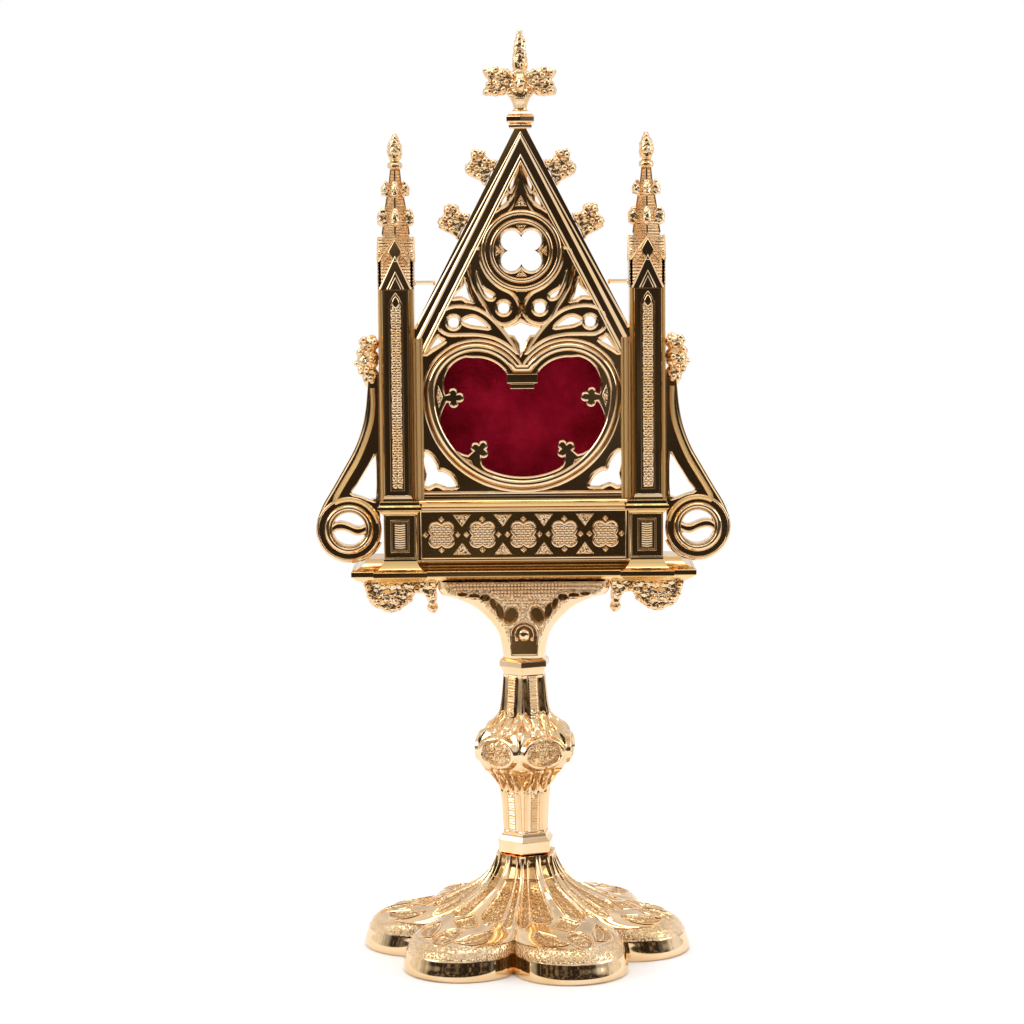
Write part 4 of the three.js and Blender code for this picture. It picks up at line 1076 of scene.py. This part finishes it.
def glass_line():
    """The glazed opening between its cusps, with the small stepped block at the top."""
    r = window_radius
    block = [(0.111, 0.05), (0.111, 0.102), (0.146, 0.102), (0.146, 0.201)]
    half = [(x * r, window_z + z * r) for x, z in block]
    # Arcs: middle, radius, angles and the tip of the cusp that follows
    for x, z, radius, start, end, tip in (
            (0.461, -0.02, 0.385, 140, 86, None), (0.507, 0.09, 0.286, 78, -22, (0.695, -0.045)),
            (0.49, -0.292, 0.344, 38, -80, (0.437, -0.575)), (0.305, -0.668, 0.117, 10, -62, None),
            (0, 0, 0.851, -67, -88, None)):
        half += arc((x * r, window_z + z * r), radius * r, start, end, 12)
        if tip:
            half += cusp_flower(tip[0] * r, window_z + tip[1] * r, math.atan2(-tip[1], -tip[0]))
    return half + flipped(half)


def cusp_flower(x, z, toward):
    """The three small lobes at the end of a cusp, as the outline runs round them."""
    points = []
    for lobe, reach in ((1, 1.75), (0, 2.2), (-1, 1.75)):
        turn = toward - lobe * math.radians(86)
        centre = (x + reach * math.cos(turn), z + reach * math.sin(turn))
        middle = math.degrees(turn)
        points += arc(centre, 1.35, middle - 112, middle + 112, 9)
    return points


def foiled_line(radius, spread, centre):
    """Four lobes whose circles meet in cusps on the cross lines."""
    lean = math.degrees(math.asin(math.sqrt(radius ** 2 - spread ** 2) / radius))
    points = []
    for i in range(4):
        turn = math.radians(45 + 90 * i)
        middle = (centre[0] + spread * math.sqrt(2) * math.cos(turn),
                  centre[1] + spread * math.sqrt(2) * math.sin(turn))
        points += arc(middle, radius, 90 * i - 90 + lean, 90 * i + 180 - lean, 14)
    return points


# Openings of the tracery's left half, as they stand in the front
comma_hole = [(-15.5, 237.9), (-14.4, 235), (-13.1, 232.3), (-10.5, 230.7), (-9.2, 229.4),
              (-10, 228.1), (-12.1, 228.7), (-13.7, 231.3), (-15, 234.5)]
mouchette_hole = [(-20.9, 220.7), (-19.1, 222.2), (-16.6, 222.7), (-13.5, 221.1), (-10.8, 218.3),
                  (-14.6, 218.6), (-18.1, 219.1)]
side_hole = [(-19.7, 235.6), (-20.5, 233.2), (-22.1, 231.4), (-24.2, 229.3), (-23.5, 228.5),
             (-20.6, 228.7), (-18.5, 227.4), (-16.5, 227.4), (-17.6, 229.8), (-18.4, 232.9)]
eave_hole = [(-29.3, 215.9), (-31.8, 212.4), (-33.4, 209.4), (-30.8, 210.9), (-26.3, 213.9),
             (-28.3, 215.2)]
corner_hole = [(-33.8, 176.1), (-34.9, 173), (-33.9, 167.7), (-34.7, 164.1), (-32.4, 163.3),
               (-29.9, 164.3), (-26.3, 163), (-22.5, 163.7), (-24.2, 167.6), (-27.5, 169.7),
               (-28.8, 169.7), (-29.3, 171.7), (-31.3, 174.8)]
star_hole = [(-0.5, 221), (-2.9, 219.8), (-6, 219), (-7, 218.8), (-5, 215.5), (-3, 215.2),
             (-1.5, 212.7), (-0.6, 208.6)]
apex_hole = [(-0.7, 273.6), (-1.5, 269.2), (-2.1, 266.8), (-3.6, 264.7), (-4.4, 266.3),
             (-3.6, 268.9)]
shoulder_hole = [(-5, 264.2), (-4.2, 263.2), (-4.5, 261.1), (-6, 259.8), (-7.6, 259.3),
                 (-7.1, 261.6), (-6, 263.5)]
comma_eye, mouchette_eye = circle((-6.2, 225.3), 2.5), circle((-23.4, 220.5), 2.4)

# Bars of the tracery's left half
comma_bar = [(-16.7, 245), (-17.8, 241.3), (-17.6, 237.1), (-16.3, 232.4), (-14.2, 228.7),
             (-12.2, 225.5), (-10.1, 221.8), (-6.9, 219.7), (-2.7, 220.7), (-0.7, 223.6),
             (-1.2, 227.2), (-3.6, 230.4), (-7.6, 232.5), (-11.3, 236.0), (-13.8, 241.0),
             (-14.2, 245.5)]
mouchette_bar = [(-28.7, 220.5), (-27.9, 223.5), (-25.1, 225.5), (-21.1, 226), (-16, 225.2),
                 (-12, 223.1), (-8, 219.3), (-4, 214.2), (-1.2, 209.6), (-4.6, 212.2),
                 (-9.4, 214.9), (-15.2, 216.1), (-21, 216.2), (-25.2, 216.3), (-27.9, 217.8)]
ogee_line = [(-10.8, 256.9), (-8.0, 258.6), (-5.2, 260.6), (-3.0, 263.2), (-1.6, 266.8),
             (-0.8, 270.5), (-0.45, 274.5)]


def rake_x(z, inset):
    return (gable_apex - z) * math.tan(gable_angle) - inset / math.cos(gable_angle)


def rake_line(inset, low, high):
    """The two slopes of the gable as one line, an inset inside its edge."""
    apex = gable_apex - inset / math.sin(gable_angle)
    return [(-rake_x(low, inset), low), (0, min(apex, high)), (rake_x(low, inset), low)]


def clipped_band(eaves, width=7.0):
    """The flat band under the rake mouldings, cut off by the sides of the front."""
    inner = gable_apex - width / math.sin(gable_angle)
    low = gable_apex - (front_half + width / math.cos(gable_angle)) / math.tan(gable_angle)
    right = [(front_half, low), (front_half, eaves), (rake_x(front_top, 0), front_top)]
    return [*right, *flipped(right), (0, inner)]


def make_front():
    eaves = gable_apex - front_half / math.tan(gable_angle)
    right = [(front_half, plinth_top), (front_half, eaves), (rake_x(front_top, 0), front_top)]
    comma, mouchette = curved(comma_hole, 3), curved(mouchette_hole, 3)
    bars = [curved(comma_bar, 3), curved(mouchette_bar, 3)]
    low_holes = two_sided([curved(line, 3) for line in (side_hole, eave_hole, corner_hole, apex_hole,
                                                        shoulder_hole)])
    low_holes.append(star_hole + flipped(star_hole[1:-1]))
    bar_holes = two_sided([comma, mouchette, comma_eye, mouchette_eye])
    centre = (0, roundel_z)
    foils = foiled_line(3.55, 3.4, centre)
    glass = glass_line()
    parts = [plate([right + flipped(right), *low_holes, *bar_holes, foils, glass],
                   recess_y, drum_front, polished, 0.15)]

    # Flat polished bars between the openings
    for lines in ([bars[0], comma, comma_eye], [bars[1], mouchette, mouchette_eye]):
        parts += both_sides(plate(lines, front_y, recess_y + 0.3, polished, 0.15))

    # Raised gilt rims along the openings and bars
    ogee = curved(ogee_line, 4, closed=False)
    tucked = [(x * 0.55 - 0.6, z - 1.6) for x, z in ogee[:-6]]
    keystone = [(-1.9, 260.1), (0, 263.4), (1.9, 260.1)]
    parts += [
        bead(low_holes, 0.75, recess_y + 0.1, polished),
        bead(bar_holes, 0.66, front_y + 0.1, polished),
        bead(two_sided([ogee]), 0.6, recess_y - 0.1, polished, closed=False),
        bead(two_sided([tucked]), 0.35, recess_y, polished, closed=False),
        bead([keystone], 0.3, recess_y, polished),
        plate([[(x * 0.8, z) for x, z in keystone]], recess_y - 0.25, recess_y + 0.3, punched),
        bead(two_sided(bars), 0.68, front_y + 0.05, polished),
    ]

    # Roundel, with small punched fields between its lobes
    parts += [
        plate([circle(centre, roundel_radius, 64), circle(centre, 9.4, 64)],
              front_y - 0.1, recess_y + 0.3, polished, 0.15),
        plate([circle(centre, 9.5, 48), foils], front_y + 0.15, recess_y + 0.3, polished, 0.15),
        bead([circle(centre, 13.1, 64)], 0.95, front_y - 0.2, polished, rounds=3),
        bead([circle(centre, 10.3, 64)], 0.8, front_y - 0.2, polished, rounds=3),
        bead([foiled_line(4.1, 3.4, centre)], 0.42, front_y + 0.1, polished),
    ]
    for turn in range(0, 360, 90):
        field = raised([swung(x, z, turn) for x, z in ((-1.7, 8.7), (1.7, 8.7), (0, 6.3))], roundel_z)
        parts += [plate([field], front_y, front_y + 0.6, punched),
                  bead([field], 0.2, front_y + 0.05, polished)]

    # Window ring, the punched pockets beside its cusps and the stepped block at its top
    parts += [
        plate([window_line(0), glass], front_y - 0.1, drum_front, polished),
        bead([window_line(0.35)], 0.5, front_y - 0.1, polished),
        bead([window_line(2.6)], 1.6, front_y + 0.1, polished, rounds=4),
        bead([glass], 0.42, front_y - 0.1, polished),
    ]
    for pocket in ([(28.9, 2.6), (29.6, -1.2), (28.7, -4.9), (27.4, -1.2)],
                   [(16.6, -26.6), (23.0, -21.4), (17.9, -23.3)]):
        for line in two_sided([raised(pocket, window_z)]):
            parts += [plate([line], front_y - 0.2, front_y + 0.3, punched, 0.15),
                      bead([line], 0.22, front_y - 0.1, polished)]
    for half, proud, low, high in ((5.4, 1.1, 3.4, 6.6), (4.2, 0.8, 1.4, 3.2)):
        parts.append(bar((-half, front_y - proud, window_z + low),
                         (half, front_y + 1.5, window_z + high), polished, 0.35))

    # Rakes, side frames and sill
    parts.append(plate([clipped_band(eaves)], front_y - 0.35, recess_y + 0.3, polished))
    for inset, radius in ((0.45, 0.45), (2.95, 0.95), (5.9, 0.62), (6.8, 0.36)):
        low = gable_apex - (front_half - 0.4 + inset / math.cos(gable_angle)) / math.tan(gable_angle)
        line = rake_line(inset, low, front_top - 1.2)
        parts.append(bead([line], radius, front_y - 0.4, polished, closed=False))
    for side in (-1, 1):
        x = side * (front_half - 1.25)
        parts.append(bar((x - 1.2, front_y - 0.2, plinth_top), (x + 1.2, recess_y + 0.4, eaves - 2.5),
                         satin, 0.3))
        for shift, radius in ((-1.3, 0.45), (0, 0.85), (1.15, 0.4)):
            line = [(x + shift, plinth_top + 0.5), (x + shift, eaves - 3.5)]
            parts.append(bead([line], radius, front_y - 0.9, satin, closed=False))
    sill_top = plinth_top + 1.5
    line = raised([(-front_half + 0.6, 0.8), (front_half - 0.6, 0.8)], sill_top)
    parts += [bar((-front_half, front_y - 1.0, plinth_top), (front_half, recess_y + 0.5, sill_top),
                  polished, 0.35),
              bead([line], 0.45, front_y, polished, closed=False)]
    finished("traceried_front", parts, ["shrine_front"])


# Relic chamber

def make_chamber():
    drum = plate([window_line(1.1), window_line(2.7)], drum_front, drum_back, polished)
    hoops = [bead([window_line(0.95)], 0.55, mix(drum_front, drum_back, share), polished)
             for share in (0.35, 0.8)]
    finished("chamber_band", [drum, *hoops], ["chamber_drum"])

    low, high = node_box("glass_pane")
    pane = plate([window_line(2.95)], low.y, high.y, clear_pane, 0.15)
    finished("window_pane", [pane], ["glass_pane"])

    low, high = node_box("velvet_panel")
    cloth = plate([window_line(2.95)], low.y, high.y, crimson, 0.7, 3)
    finished("velvet_field", [cloth], ["velvet_panel"])

    low, high = node_box("chamber_cover")
    lid = plate([window_line(0.8)], high.y - 1.5, high.y, polished, 0.5, 3)
    plug = plate([window_line(3.0)], low.y, high.y - 1.4, polished)
    rim = bead([window_line(3.4)], 0.5, high.y - 0.1, polished)
    finished("back_lid", [lid, plug, rim], ["chamber_cover"])


# Pillars and pinnacles

def make_pillar():
    half, base, top = pillar_half, plinth_top, pillar_top
    face, buttress_half = -9.5, 4.6
    parts = [bar((-half, -half, base), (half, half, top), polished, 0.3),
             bar((-buttress_half, face, base), (buttress_half, 0, top), polished)]
    for side in (-1, 1):
        inner, outer = side * 4.2, side * 5.4
        parts += [bead([[(inner, base + 2.2), (inner, top)]], 0.5, face + 0.1, rich, closed=False),
                  bead([[(outer, base), (outer, top)]], 0.75, -half, satin, closed=False)]
    strip = [(-2.3, base + 3.6), (2.3, base + 3.6)]
    strip += raised([(2.3, -5.2), (1.2, -2.6), (0, -1.2), (-1.2, -2.6), (-2.3, -5.2)], top)
    ground = [(x * 0.78, mix(base + 38, z, 0.98)) for x, z in strip]
    parts += [bead([strip], 0.28, face - 0.05, polished),
              plate([ground], face - 0.12, face + 0.3, punched, 0.1)]
    rung = painted(joined([lump((0.85, 0.55, 0.7), (x, face, 0), 2) for x in (-0.8, 0.8)]), polished)
    rungs = 36
    for i in range(rungs):
        parts.append(placed(copied(rung), z=mix(base + 5.2, top - 7.4, i / (rungs - 1))))
    bpy.data.objects.remove(rung)
    bud = raised([(0, -6.6), (1.3, -5.2), (1.1, -3.6), (0, -2.2), (-1.1, -3.6), (-1.3, -5.2)], top)
    foot = raised([(0.5, 0), (0.5, 0.8), (0.1, 1.4), (0.0, 2.0)], base)
    parts += [plate([curved(bud, 3)], face - 0.7, face + 0.3, polished, 0.5, 3),
              moulded(buttress_half, 1.0, foot, polished, y=face + 0.9)]
    return joined(parts + make_gablet(face, top))


def make_gablet(face, top):
    """The small gable over the buttress with its diamond."""
    body = raised([(-5.4, -0.2), (5.4, -0.2), (0.5, 10.6), (-0.5, 10.6)], top)
    parts = [plate([body], face - 0.2, -6.4, polished, 0.15)]
    for inset, radius in ((0.0, 0.42), (2.5, 0.3), (3.4, 0.22)):
        width = 5.3 - inset
        line = raised([(-width, 0.1), (0, 11.2 - inset * 2.1), (width, 0.1)], top)
        parts.append(bead([line], radius, face - 0.25, polished, closed=False))
    diamond = raised([(-0.9, 9.6), (0.9, 9.6), (1.0, 11.0), (2.2, 12.8), (0, 16.8), (-2.2, 12.8),
                      (-1.0, 11.0)], top)
    return parts + [plate([diamond], face - 0.35, -6.0, polished, 0.2, 2),
                    bead([diamond], 0.2, face - 0.35, polished)]


def make_pinnacle():
    half, base, top = pillar_half, pillar_top, pinnacle_high
    shaft_top = base + 10.1
    eaves = shaft_top - 0.6
    roof = plate([[(-half, eaves), (half, eaves), (0, base + 17.6)]], -half, half, lined)
    edge = bead([[(-half + 0.3, eaves), (0, base + 17.4), (half - 0.3, eaves)]],
                0.38, -half + 0.1, polished, closed=False)
    inner = bead([[(-half + 2.0, eaves - 0.6), (0, base + 14.2), (half - 2.0, eaves - 0.6)]],
                 0.28, -half, polished, closed=False)
    parts = [bar((-half, -half, base), (half, half, shaft_top), lined, 0.3), roof,
             spun(copied(roof), 90), *all_round(edge, 4), *all_round(inner, 4)]
    post = 0.75
    for x in (post - half, half - post):
        for y in (post - half, half - post):
            parts += [bar((x - post, y - post, base), (x + post, y + post, shaft_top + 2.2), lined, 0.3),
                      painted(lump((1.0, 1.0, 0.9), (x, y, shaft_top + 2.4), 2), polished)]
    spire = [(4.6, 18.5), (3.3, 28), (1.8, 37)]
    cone = [(5.1, shaft_top)] + raised(spire + [(1.45, 41)], base)
    parts.append(turned(cone, 4, lined))
    for i in range(4):
        line = [(*swung(r, 0, 90 * i), z) for r, z in raised(spire + [(1.4, 41)], base)]
        parts.append(tube([line], 0.32, polished))
    for rise, reach, size in ((24.0, 6.5, 2.5), (33.6, 5.1, 2.1)):
        # Lumps of a leaf: radii and place inward and up, as shares of its size, detail and tilt
        lumps = []
        for radii, inward, up, detail, tilt in (
                ((0.95, 0.7, 1.25), 1, 0, 3, 18), ((0.55, 0.6, 0.5), 0.55, -0.55, 2, 0),
                ((0.5, 0.5, 0.55), 0.9, 0.95, 2, 0)):
            lumps.append(lump([size * radius for radius in radii],
                              (reach - size * inward, 0, size * up), detail, tilt))
        parts += all_round(placed(leafy(lumps, 0.26, 1.5, 0.6), z=base + rise), 4)
    collar = raised([(1.4, 40.5), (2.4, 41.2), (2.6, 42.0), (2.4, 42.8), (1.3, 43.6)], base)
    bud = raised([(1.2, 43.2), (2.1, 44.4), (2.6, 46.6), (2.4, 48.6), (1.7, 50.8), (0.9, 52.6)], base)
    bud.append((0.15, top - 0.3))
    parts += [turned(collar, 20, leafwork), leafy([turned(bud, 24, leafwork)], 0.26, 1.5, 0.6)]
    return joined(parts)


def make_pillars_and_pinnacles():
    finished_pair("pillar", placed(make_pillar(), x=pillar_x), "pillar")
    finished_pair("pinnacle", placed(make_pinnacle(), x=pillar_x), "pinnacle")


# Wings

volute_centre = (60.3, 149.2)


def volute_wave():
    points = [(-6.0, 0.3), (-3.9, -0.6), (-2.0, -0.5), (0, 0.4), (2.2, 1.1), (4.3, 1.0), (5.9, 0)]
    return [(volute_centre[0] + x, volute_centre[1] + z) for x, z in curved(points, 4, closed=False)]


def volute_gaps():
    """The two openings that the wave leaves in the volute."""
    bar_half, open_radius, reach = 1.5, 5.8, 4.9
    wave = [(x, z) for x, z in volute_wave() if abs(x - volute_centre[0]) < reach]
    upper = [(x, z + bar_half) for x, z in wave] + arc(volute_centre, open_radius, 30, 160, 16)
    lower = [(x, z - bar_half) for x, z in wave] + arc(volute_centre, open_radius, -12, -158, 16)
    return upper, lower


def make_wings():
    inner = pillar_outside + 0.05
    front, back = -5.5, -0.5
    outer = curved([(52.9, 203), (53.0, 200.8), (53.3, 197.4), (54, 190.5), (55.5, 183.5),
                    (58.2, 176.6), (61.9, 170), (66.1, 162.8), (69.2, 157.6), (71.2, 152.6)],
                   4, closed=False) + arc(volute_centre, 11.35, 15, -164, 24)
    # The inner edge runs back up over the opening to the pillar
    body = outer + [(49.6, 151.2), (49.35, 158.4), (inner, 203)]
    gap = [(50.6, 175.0), (50.5, 160.0), (53.0, 159.2), (56.0, 160.4), (59.6, 161.6), (57.4, 165.0),
           (53.6, 171.2)]
    second = curved([(51.6, 198), (51.5, 192), (52.3, 186), (54.6, 179), (57.6, 172.4), (61.6, 165.8),
                     (64.4, 161), (65.1, 158.9)], 4, closed=False)
    edge = [(x - 0.45, z) for x, z in outer[:-1]]
    parts = [
        plate([body, gap, *volute_gaps()], front, back, polished, 0.35, 2),
        bead([edge], 0.5, front + 0.1, polished, closed=False),
        bead([second], 0.9, front + 0.1, satin, closed=False),
        bead([arc(volute_centre, 10.35, 62, 168, 20)], 0.8, front, satin, closed=False),
    ]
    for radius, size in ((10.8, 0.5), (7.6, 1.05), (6.15, 0.4)):
        parts.append(bead([circle(volute_centre, radius, 48)], size, front - 0.05, polished, rounds=3))
    for shift in (-1.1, 1.1):
        parts.append(bead([raised(volute_wave(), shift)], 0.42, front, polished, closed=False))
    parts.append(bead([curved(gap, 3)], 0.35, front, polished))

    # Leaf head: radii, place across and up, and tilt of its lumps
    mass = [lump(radii, (x, -3, z), 3, tilt) for radii, x, z, tilt in (
        ((3.3, 3.6, 3.0), 52.5, 213.0, 20), ((3.9, 3.9, 4.8), 53.2, 207.4, -10),
        ((2.9, 3.3, 4.0), 52.4, 202.2, 0), ((1.9, 1.9, 1.9), 54.4, 213.6, 0),
        ((2.3, 2.4, 1.7), 55.2, 210.4, 30), ((1.7, 2.0, 1.6), 56.2, 206.2, 0),
        ((1.6, 1.8, 1.4), 54.9, 203.4, 0), ((1.5, 1.8, 1.2), 51.4, 215.2, 0))]
    curl = curved([(50.6, 214.2), (53.0, 215.4), (55.2, 213.6), (55.4, 210.6), (52.6, 209.6),
                   (51.6, 206.6), (53.4, 204.6), (55.6, 206.6), (54.6, 202.6), (52.0, 201.4)],
                  2, closed=False)
    spots = [(x, -3 + side * 3.7, z) for x, z in curl for side in (-1, 1)]
    parts.append(beaded_leaf(mass, 0.24, 2.2, 0.8, spots[::3], 1.2))
    finished_pair("wing", joined(parts), "wing")


# Roof ornament

def make_crockets():
    shape = [(0, 0), (0.8, 1.1), (2.1, 2.1), (4.2, 2.9), (5.8, 4.2), (6.8, 6.1), (5.8, 7.4), (4.5, 8.7),
             (4.5, 11.4), (3.7, 12.4), (1.6, 12.2), (-0.3, 11.9), (-0.5, 10.1), (-2.1, 8.9), (-4.6, 8.9)]
    curls = curved([(2.0, 3.6), (4.6, 5.0), (5.6, 6.6), (4.2, 7.6), (3.4, 9.4), (3.4, 11.2), (1.4, 11.2),
                    (0.6, 9.6), (-0.8, 8.0), (-3.0, 8.0), (1.6, 6.0), (3.0, 6.6)], 2, closed=False)
    # The foot of a leaf follows the rake inward up to this share of its height
    leaf_height, lean_share = 12.4, 0.72
    for name in ("low", "high"):
        low = node_box("crocket_%s_right" % name)[0]
        corner = low.x + leaf_height * lean_share * math.tan(gable_angle)
        mass = [plate([[(corner + x, low.z + z) for x, z in shape]], finial_y - 2.1, finial_y + 2.1,
                      leafwork, 0.8, 3)]
        mass += [lump(radii, (corner + x, finial_y, low.z + z), 3, tilt) for radii, x, z, tilt in (
            ((2.5, 2.9, 2.1), 4.0, 5.4, 20), ((2.1, 2.6, 1.8), 2.2, 10.3, 0),
            ((2.0, 2.5, 1.7), 0.4, 6.8, 0))]
        spots = [(corner + x, finial_y + side * 2.5, low.z + z) for x, z in curls for side in (-1, 1)]
        leaf = beaded_leaf(mass, 0.22, 2.1, 0.8, spots[::3], 1.15)
        finished_pair("%s_crocket" % name, leaf, "crocket_%s" % name)


def make_tie_rods():
    for side in ("right", "left"):
        low, high = node_box("tie_rod_%s" % side)
        middle = (low + high) / 2
        line = [(low.x, middle.y, middle.z), (high.x, middle.y, middle.z)]
        knobs = [painted(lump((0.5, 1.0, 1.0), (x, middle.y, middle.z), 2), polished)
                 for x in (low.x + 0.5, high.x - 0.5)]
        finished("%s_tie_rod" % side, [tube([line], 0.7, polished), *knobs], ["tie_rod_%s" % side])


def make_finial():
    profile = raised([(4.1, 0), (4.6, 0.4), (4.6, 1.4), (3.9, 1.7), (5.2, 2.1), (5.5, 2.5), (5.5, 4.2),
                      (5.1, 4.5), (4.4, 5.0)], collar_low) + [(4.2, finial_low)]
    collar = softened(turned(profile, 6, polished))
    finished("apex_collar", [placed(collar, y=finial_y)], ["finial_collar"])

    base = finial_low
    stalk = turned(raised([(3.2, 0), (2.4, 0.5), (2.2, 1.2), (2.7, 3.0), (3.8, 5.2), (3.9, 8.0),
                           (3.2, 13.0), (2.2, 14.2)], base), 24, leafwork)
    # Lumps of one arm: radii, place across, rise, detail and tilt
    arm = (((3.6, 2.9, 3.2), 7.4, 10.0, 3, 0), ((5.6, 3.0, 3.9), 4.6, 9.8, 3, -8),
           ((3.9, 2.7, 1.9), 5.8, 12.4, 3, -6), ((3.2, 2.5, 2.2), 9.3, 12.3, 3, -24),
           ((1.2, 1.3, 1.2), 11.4, 13.7, 2, 0), ((1.0, 1.1, 1.0), 8.2, 14.4, 2, 0),
           ((3.1, 2.6, 2.4), 9.2, 7.7, 3, 18), ((3.4, 2.6, 2.2), 6.2, 7.6, 3, 12),
           ((1.6, 2.1, 1.5), 11.1, 6.8, 2, 0))
    mass = [lump((4.3, 3.6, 4.2), (0, 0, base + 9.6))]
    for side in (-1, 1):
        mass += [lump(radii, (side * x, 0, base + rise), detail, side * tilt)
                 for radii, x, rise, detail, tilt in arm]
        mass += [lump((2.7, 4.6, 3.4), (0, side * 2.7, base + 9.6)),
                 lump((1.7, 1.6, 1.7), (0, side * 5.9, base + 8.4), 2)]
    curl = [(3.2, 6.0), (5.6, 7.4), (8.2, 6.2), (10.4, 6.8), (10.6, 9.0), (7.6, 9.6), (4.6, 9.8),
            (7.6, 12.2), (10.6, 13.0), (8.2, 14.2), (5.0, 13.4), (2.4, 12.2), (2.6, 8.6)]
    spots = [(right * x, side * (3.0 - 0.1 * x), base + z)
             for x, z in curl for side in (-1, 1) for right in (-1, 1)]
    foliage = beaded_leaf(mass, 0.23, 2.3, 0.9, spots, 1.2)
    bud = raised([(1.9, 13.6), (2.3, 14.2), (2.6, 17.0), (2.5, 18.4), (2.15, 20.6), (1.95, 22.4),
                  (1.6, 24.4), (1.1, 26.4), (0.75, 27.4)], base) + [(0.2, finial_high - 0.35)]
    scales = [turned(bud, 28, leafwork)]
    for rise, radius, size in ((15.6, 1.9, 1.2), (19.4, 1.7, 1.05), (23.2, 1.35, 0.85)):
        for i in range(6):
            place = swung(radius, 0, 60 * i + rise * 7)
            scales.append(lump((size * 0.8, size * 0.8, size * 1.5), (*place, base + rise), 2))
    tip = leafy(scales, 0.22, 1.5, 0.5)
    parts = [placed(part, y=finial_y) for part in (stalk, foliage, tip)]
    finished("cross_finial", parts, ["finial"])


# Studio

def make_floor():
    put_down()
    bpy.ops.mesh.primitive_circle_add(vertices=96, radius=0.47, fill_type='NGON', location=(0, 0, 0))
    floor = placed(bpy.context.object, y=0.13)
    floor.name = "pale_floor"
    looks = {"Base Color": (0.93, 0.93, 0.93, 1), "Roughness": 0.8}
    floor.data.materials.append(new_material("pale_floor", looks)[0])


def make_world():
    """White all round, with a dim tent and a dark room in front that only reflections see."""
    world = bpy.context.scene.world or bpy.data.worlds.new("studio")
    bpy.context.scene.world = world
    world.use_nodes = True
    tree = world.node_tree
    tree.nodes.clear()
    view = add_node(tree, 'TexCoord').outputs["Generated"]
    seen = add_node(tree, 'LightPath').outputs["Is Camera Ray"]

    # The room is a ragged oval low in front
    shift = add_node(tree, 'VectorMath', {0: view, 1: (0, 0, -0.04)}, operation='ADD')
    stretch = add_node(tree, 'VectorMath', {0: shift.outputs[0], 1: (1 / 0.95, 0, 1 / 0.36)},
                       operation='MULTIPLY')
    reach = add_node(tree, 'VectorMath', {0: stretch.outputs[0]}, operation='LENGTH')
    ragged = noise(tree, view, 3.5, 1.0)
    uneven = calculated(tree, 'MULTIPLY_ADD', ragged, 0.42, reach.outputs["Value"])
    patch = ranged(tree, uneven, 1.42, 1.12, passage='SMOOTHSTEP')
    split = add_node(tree, 'SeparateXYZ', {0: view})
    ahead = calculated(tree, 'LESS_THAN', split.outputs["Y"], 0.0)
    unseen = calculated(tree, 'SUBTRACT', 1.0, seen)
    share = calculated(tree, 'MULTIPLY', calculated(tree, 'MULTIPLY', patch, unseen), ahead)
    streaks = noise(tree, view, 11.0)
    room = ramped(tree, streaks, (0.5, (0.026, 0.02, 0.015)), (0.72, (0.3, 0.24, 0.17)))

    tent = ramped(tree, ragged, (0.3, (0.62, 0.6, 0.6)), (0.62, (1.0, 0.98, 0.97)))
    sky = blended(tree, seen, tent, (1, 1, 1, 1))
    light = add_node(tree, 'Background', {"Color": blended(tree, share, sky, room), "Strength": 1.0})
    add_node(tree, 'OutputWorld', {"Surface": light.outputs[0]})


def make_lamps():
    for name, place, size, power in (("left_softbox", (-0.95, -0.35, 0.7), 0.6, 3.2),
                                     ("right_softbox", (1.0, -0.2, 0.55), 0.6, 2.4),
                                     ("top_softbox", (0, 0.15, 1.2), 0.8, 5.5)):
        lamp = bpy.data.lights.new(name, 'AREA')
        lamp.size = size
        lamp.energy = power
        source = bpy.data.objects.new(name, lamp)
        bpy.context.scene.collection.objects.link(source)
        source.location = place
        aim = Vector((0, 0, 0.15)) - Vector(place)
        source.rotation_euler = aim.to_track_quat('-Z', 'Y').to_euler()


def make_camera():
    """The long lens of the photo, a little above the shrine and pitched down."""
    lens = bpy.data.cameras.new("photo_camera")
    lens.lens = 105.5
    lens.sensor_width = 36
    camera = bpy.data.objects.new("photo_camera", lens)
    bpy.context.scene.collection.objects.link(camera)
    pitch = Matrix.Rotation(math.radians(90 - 6.6), 4, 'X')
    roll = Matrix.Rotation(math.radians(-0.47), 4, 'Z')
    camera.matrix_world = Matrix.Translation((-0.0039, -1.036, 0.274)) @ pitch @ roll
    bpy.context.scene.camera = camera
    bpy.context.scene.view_settings.view_transform = 'Standard'


make_foot()
make_foot_collar()
make_stem()
make_head_collar()
make_console()
make_plinth()
make_front()
make_chamber()
make_pillars_and_pinnacles()
make_wings()
make_crockets()
make_tie_rods()
make_finial()
make_floor()
make_world()
make_lamps()
make_camera()
